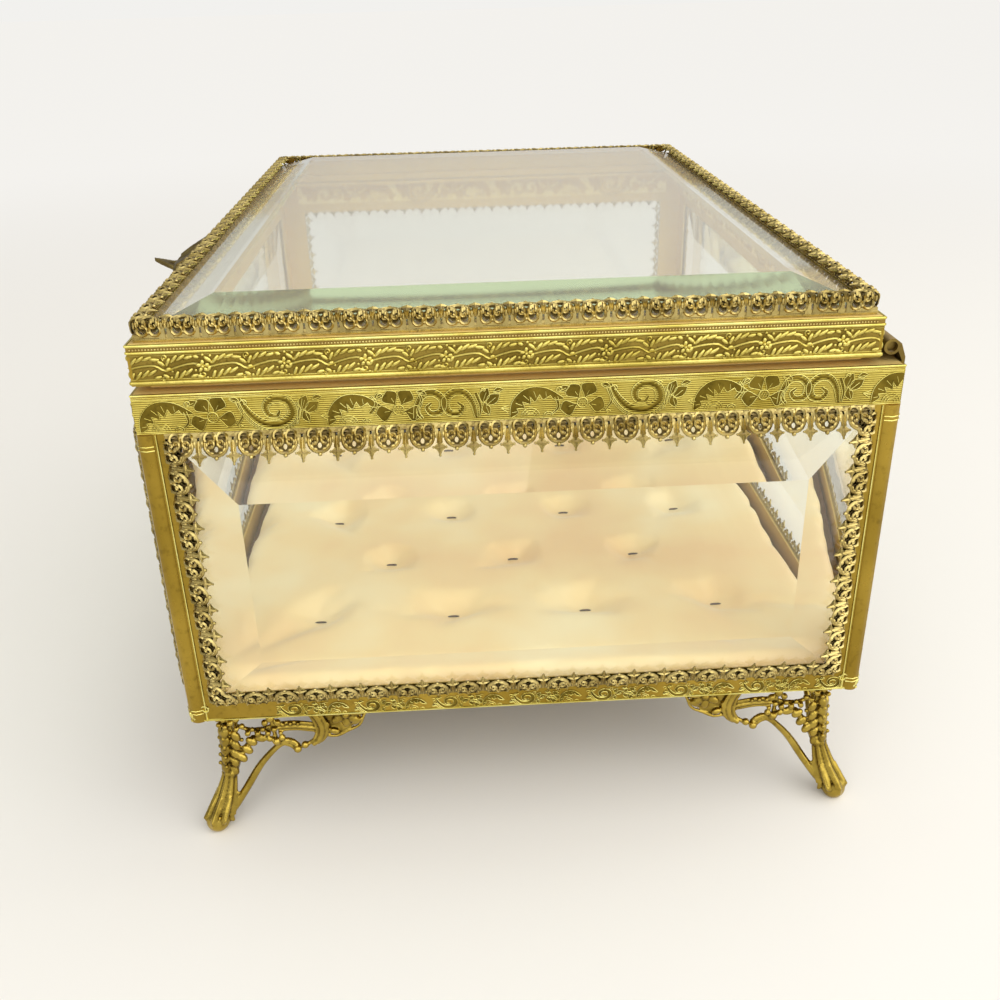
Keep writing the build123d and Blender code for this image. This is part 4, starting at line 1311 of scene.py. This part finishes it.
def solidCopy(node, name):
    # a CAD node's mesh in millimetres, merged, as the core of a visual piece
    piece = copyOf(frame["nodes"][node], name)
    piece.parent = None
    piece.matrix_world = Matrix.Identity(4)
    piece.data.transform(Matrix.Scale(1 / mm, 4))
    mesh = bmesh.new()
    mesh.from_mesh(piece.data)
    bmesh.ops.remove_doubles(mesh, verts=mesh.verts, dist=0.001)
    bmesh.ops.recalc_face_normals(mesh, faces=mesh.faces)
    mesh.to_mesh(piece.data)
    mesh.free()
    return piece


thumbTab = {"grain": 0.28, "most": 40000}


def tabShapes():
    # lobes that fan out over the boss, its knobs and the veined leaf. v runs out from the lid, w up
    runs = []
    for number in range(7):
        share = (number - 3) / 3
        root = (share * 6.5, 2.4, 4.6)
        middle = (share * 9.4, 7.2, 3.5 - 0.7 * abs(share))
        tip = (share * 11.4, 12.4 - 1.8 * share**2, 0.9 - 0.5 * abs(share))
        runs.append((bendThrough([root, middle, tip], 4), [0.8, 0.95, 1.1, 1.2, 1.2, 1.15, 1.05, 0.9, 0.7]))
    midrib = bendThrough([(0, 12.5, -0.5), (0, 16, -0.5), (0, 19.1, 0.15)], 4)
    runs.append((midrib, [0.6 - 0.045 * n for n in range(9)]))
    for side in (-1, 1):
        for v in (13.8, 15.2, 16.6):
            reach = 2.2 - 0.6 * (v - 13.8)  # veins get shorter towards the tip
            runs.append(([(0, v, -0.85), (side * reach, v + 1.1, -0.95)], 0.26))
    shapes = [wires(runs, 2)]
    for side in (-1, 1):
        shapes.append(ball((side * 12.1, 10.7, 0.1), 1.25, (1, 1, 0.95), 0, (12, 8)))
        shapes.append(ball((side * 9.0, 12.1, -0.4), 0.9, (1, 1, 0.9), 0, (10, 7)))
        shapes.append(ball((side * 4.6, 13.0, -0.5), 0.9, (1.2, 1, 0.9), 0, (10, 7)))
    return shapes


tabLow, tabHigh = boxOf("thumb_tab")
tab = joinUp("tab", tabShapes())
tab.data.transform(Matrix((
    (1, 0, 0, (tabLow.x + tabHigh.x) / 2), (0, -1, 0, tabHigh.y), (0, 0, 1, lidBand[0]), (0, 0, 0, 1),
)))
tab.data.flip_normals()
tab = melted(joinUp("tab", [solidCopy("thumb_tab", "tab core"), tab]), thumbTab["grain"], thumbTab["most"])
cutBeyond(tab, (0, tabHigh.y - 0.02, 0), (0, 1, 0))
setDown(paint(tab, tarnishedCast), "leaf_thumb_tab", Matrix.Scale(mm, 4), "lid")
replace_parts(tab, "thumb_tab")
print("thumb tab cast")


# the tufted pad: satin over wadding, held down at each tuft
tuftedPad = {
    "voxel": 1.9,
    "modelScale": 4,  # the cloth is worked at four times its size
    "slack": 0.03,
    "pressure": 4.0,
    "frames": 20,
    "cap": 1.6,  # a point moves no further than this
    "tuftHold": 1.5,  # the cover is sewn down this far round each tuft
    "hemHold": 0.9,  # and this far up from the card
    "start": (0.994, 0.991, 0.93),  # share of the pad's size that the cover starts from
    "spacing": (48.0, 30.0),
    "stitch": (2.4, 0.22),  # length and radius of the thread
}
padLow, padHigh = boxOf("tufted_pad")
padMiddle = (padLow + padHigh) / 2


def tuftPlaces():
    pitchX, pitchY = tuftedPad["spacing"]
    places = [((i - 1.5) * pitchX, (j - 1.5) * pitchY) for i in range(4) for j in range(4)]
    places += [((i - 1) * pitchX, (j - 1) * pitchY) for i in range(3) for j in range(3)]
    return [(padMiddle.x + x, padMiddle.y + y) for x, y in places]


def simmered(piece, pinned):
    # blows the cover up a little inside its own space, with the pinned points held
    scale = tuftedPad["modelScale"] * mm
    before = [vertex.co.copy() for vertex in piece.data.vertices]
    centre = Vector((padMiddle.x, padMiddle.y, padLow.z))
    piece.data.transform(Matrix.Scale(scale, 4) @ Matrix.Translation(-centre))
    group = piece.vertex_groups.new(name="held")
    group.add(pinned, 1.0, "REPLACE")
    pick(piece)
    cloth = piece.modifiers.new("cover", "CLOTH")
    cover = cloth.settings
    cover.quality = 6
    cover.mass = 0.15
    cover.tension_stiffness = cover.compression_stiffness = 8
    cover.shear_stiffness = 4
    cover.bending_stiffness = 0.2
    cover.shrink_min = -tuftedPad["slack"]
    cover.use_pressure = True
    cover.uniform_pressure_force = tuftedPad["pressure"]
    cover.vertex_group_mass = "held"
    cover.effector_weights.gravity = 0
    cloth.collision_settings.use_collision = False
    cloth.point_cache.frame_start = 1
    cloth.point_cache.frame_end = tuftedPad["frames"]
    for number in range(1, tuftedPad["frames"] + 1):
        bpy.context.scene.frame_set(number)
    bpy.ops.object.modifier_apply(modifier=cloth.name)
    bpy.context.scene.frame_set(1)
    piece.data.transform(Matrix.Translation(centre) @ Matrix.Scale(1 / scale, 4))
    piece.vertex_groups.clear()
    far = 0
    for vertex, start in zip(piece.data.vertices, before):
        move = vertex.co - start
        far = max(far, move.length)
        if move.length > tuftedPad["cap"]:
            move *= tuftedPad["cap"] / move.length
        place = start + move
        for axis in range(3):
            place[axis] = min(max(place[axis], padLow[axis] + 0.05), padHigh[axis] - 0.02)
        vertex.co = place
    print("pad's cover moved by up to", round(far, 2), "mm")


pad = solidCopy("tufted_pad", "pad")
withModifier(pad, "REMESH", mode="VOXEL", voxel_size=tuftedPad["voxel"])
for vertex in pad.data.vertices:
    vertex.co = padMiddle + Vector([
        (vertex.co[axis] - padMiddle[axis]) * share for axis, share in enumerate(tuftedPad["start"])
    ])
tufts = tuftPlaces()
held = []
for vertex in pad.data.vertices:
    x, y, z = vertex.co
    tuftAway = min(math.hypot(x - u, y - v) for u, v in tufts)
    if z < padLow.z + tuftedPad["hemHold"] or (z > padMiddle.z and tuftAway < tuftedPad["tuftHold"]):
        held.append(vertex.index)
simmered(pad, held)
withModifier(pad, "SMOOTH", factor=0.4, iterations=1)
withModifier(pad, "SUBSURF", levels=1, render_levels=1)
setDown(paint(smoothed(pad), satin), "satin_pad", Matrix.Scale(mm, 4), "casket")
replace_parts(pad, "tufted_pad")
print("pad filled")

# a thread across the bottom of each dimple, as it lies on the cover
length, radius = tuftedPad["stitch"]
stitches = []
for x, y in tufts:
    place = pad.ray_cast(Vector((x, y, padHigh.z + 5)) * mm, Vector((0, 0, -1)))[1]
    low = place.z / mm
    stitches.append((bendThrough([
        (x, y - length / 2, low + 0.05), (x, y - length / 4, low + 0.22), (x, y + length / 4, low + 0.22),
        (x, y + length / 2, low + 0.05),
    ], 3), radius))
stitching = paint(smoothed(wires(stitches, 1)), thread)
setDown(stitching, "tuft_threads", Matrix.Scale(mm, 4), "casket")
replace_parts(stitching, "tuft_stitches")
print("tufts stitched")


# light, floor and camera

def studio():
    bpy.ops.mesh.primitive_plane_add(size=16)
    floor = bpy.context.object
    floor.name = "floor"
    material, tree, shader = newMaterial("pale floor, matt")
    shader.inputs["Base Color"].default_value = linear("#e8e5df")
    shader.inputs["Roughness"].default_value = 0.9
    # away from the box the floor shows white to the eye, in metal and through glass
    path = addNode(tree, "ShaderNodeLightPath")
    looked = addNode(tree, "ShaderNodeMath", None,
                     {0: path.outputs["Is Camera Ray"], 1: path.outputs["Is Glossy Ray"]},
                     operation="MAXIMUM")
    looked = addNode(tree, "ShaderNodeMath", None,
                     {0: looked.outputs[0], 1: path.outputs["Is Transmission Ray"]}, operation="MAXIMUM")
    place = addNode(tree, "ShaderNodeTexCoord")
    far = addNode(tree, "ShaderNodeVectorMath", None, {0: place.outputs["Object"]}, operation="LENGTH")
    faded = addNode(tree, "ShaderNodeMapRange", {"From Min": 0.2, "From Max": 1.0, "To Max": 0.9},
                    {"Value": far.outputs["Value"]}, interpolation_type="SMOOTHSTEP")
    share = addNode(tree, "ShaderNodeMath", None, {0: looked.outputs[0], 1: faded.outputs[0]},
                    operation="MULTIPLY")
    # the metal sees less of it on the side away from the window
    sideways = addNode(tree, "ShaderNodeSeparateXYZ", None, {0: place.outputs["Object"]})
    dimmer = addNode(tree, "ShaderNodeMapRange",
                     {"From Min": -0.7, "From Max": 0.2, "To Min": 0.6, "To Max": 0},
                     {"Value": sideways.outputs["Y"]})
    dimmed = addNode(tree, "ShaderNodeMath", None,
                     {0: dimmer.outputs[0], 1: path.outputs["Is Glossy Ray"]}, operation="MULTIPLY")
    kept = addNode(tree, "ShaderNodeMath", {0: 1}, {1: dimmed.outputs[0]}, operation="SUBTRACT")
    white = addNode(tree, "ShaderNodeEmission", {"Color": linear("#f6f4f0")}, {"Strength": kept.outputs[0]})
    mixed = addNode(tree, "ShaderNodeMixShader", None,
                    {0: share.outputs[0], 1: shader.outputs[0], 2: white.outputs[0]})
    # from beneath the floor is clear, so the box's underside can be looked at
    beneath = addNode(tree, "ShaderNodeNewGeometry")
    under = addNode(tree, "ShaderNodeMath", None,
                    {0: beneath.outputs["Backfacing"], 1: path.outputs["Is Camera Ray"]},
                    operation="MULTIPLY")
    nothing = addNode(tree, "ShaderNodeBsdfTransparent")
    mixed = addNode(tree, "ShaderNodeMixShader", None,
                    {0: under.outputs[0], 1: mixed.outputs[0], 2: nothing.outputs[0]})
    tree.links.new(mixed.outputs[0], tree.nodes["Material Output"].inputs["Surface"])
    floor.data.materials.append(material)
    # a pale room, brighter on the window's side than on the other
    scene = bpy.context.scene
    scene.world = bpy.data.worlds.new("studio")
    scene.world.use_nodes = True
    tree = scene.world.node_tree
    tree.nodes.clear()
    coords = addNode(tree, "ShaderNodeTexCoord")
    direction = addNode(tree, "ShaderNodeVectorMath", {1: (0.45, 0.6, 0.35)},
                        {0: coords.outputs["Generated"]}, operation="DOT_PRODUCT")
    strength = addNode(tree, "ShaderNodeMapRange",
                       {"From Min": -0.75, "From Max": 0.75, "To Min": 0.3, "To Max": 1.2},
                       {"Value": direction.outputs["Value"]})
    path = addNode(tree, "ShaderNodeLightPath")
    seen = addNode(tree, "ShaderNodeMix", {3: 0.92},
                   {"Factor": path.outputs["Is Camera Ray"], 2: strength.outputs[0]})
    through = addNode(tree, "ShaderNodeMix", {3: 0.9},
                      {"Factor": path.outputs["Is Transmission Ray"], 2: seen.outputs[0]})
    sky = addNode(tree, "ShaderNodeBackground", {"Color": linear("#fbfaf7")},
                  {"Strength": through.outputs[0]})
    sink = addNode(tree, "ShaderNodeOutputWorld")
    tree.links.new(sky.outputs[0], sink.inputs["Surface"])
    boxMiddle = Vector((0, 0, 0.06))
    for name, place, size, power in (
        ("window", (0.5, 0.8, 0.7), 1.6, 9.5),
        ("fill", (0.9, -0.3, 0.6), 0.9, 3.2),
    ):
        bpy.ops.object.light_add(type="AREA", location=place)
        lamp = bpy.context.object
        lamp.name = name
        lamp.data.size = size
        lamp.data.energy = power
        lamp.visible_camera = False
        aim = boxMiddle - Vector(place)
        lamp.rotation_euler = aim.to_track_quat("-Z", "Y").to_euler()


def photoCamera():
    # where the photo was taken from, found from the straight edges of the case and the lid
    place = Vector((276.17, -4.83, 166.42)) * mm
    right, tall = Vector((0.0512, 0.9984, -0.0239)), Vector((-0.4415, 0.0441, 0.8962))
    bpy.ops.object.camera_add(location=place)
    camera = bpy.context.object
    turn = Matrix((right, tall, right.cross(tall))).transposed()
    camera.rotation_euler = turn.to_euler()
    camera.data.sensor_width = 36
    camera.data.lens = 37.7
    camera.data.clip_start = 0.01
    bpy.context.scene.camera = camera


studio()
photoCamera()
scene = bpy.context.scene
scene.view_settings.view_transform = "Standard"
# a ray runs the length of a bevelled pane between its faces before it comes out
scene.cycles.max_bounces = 48
scene.cycles.glossy_bounces = 40
scene.cycles.transmission_bounces = 24
scene.cycles.transparent_max_bounces = 16
letGo()
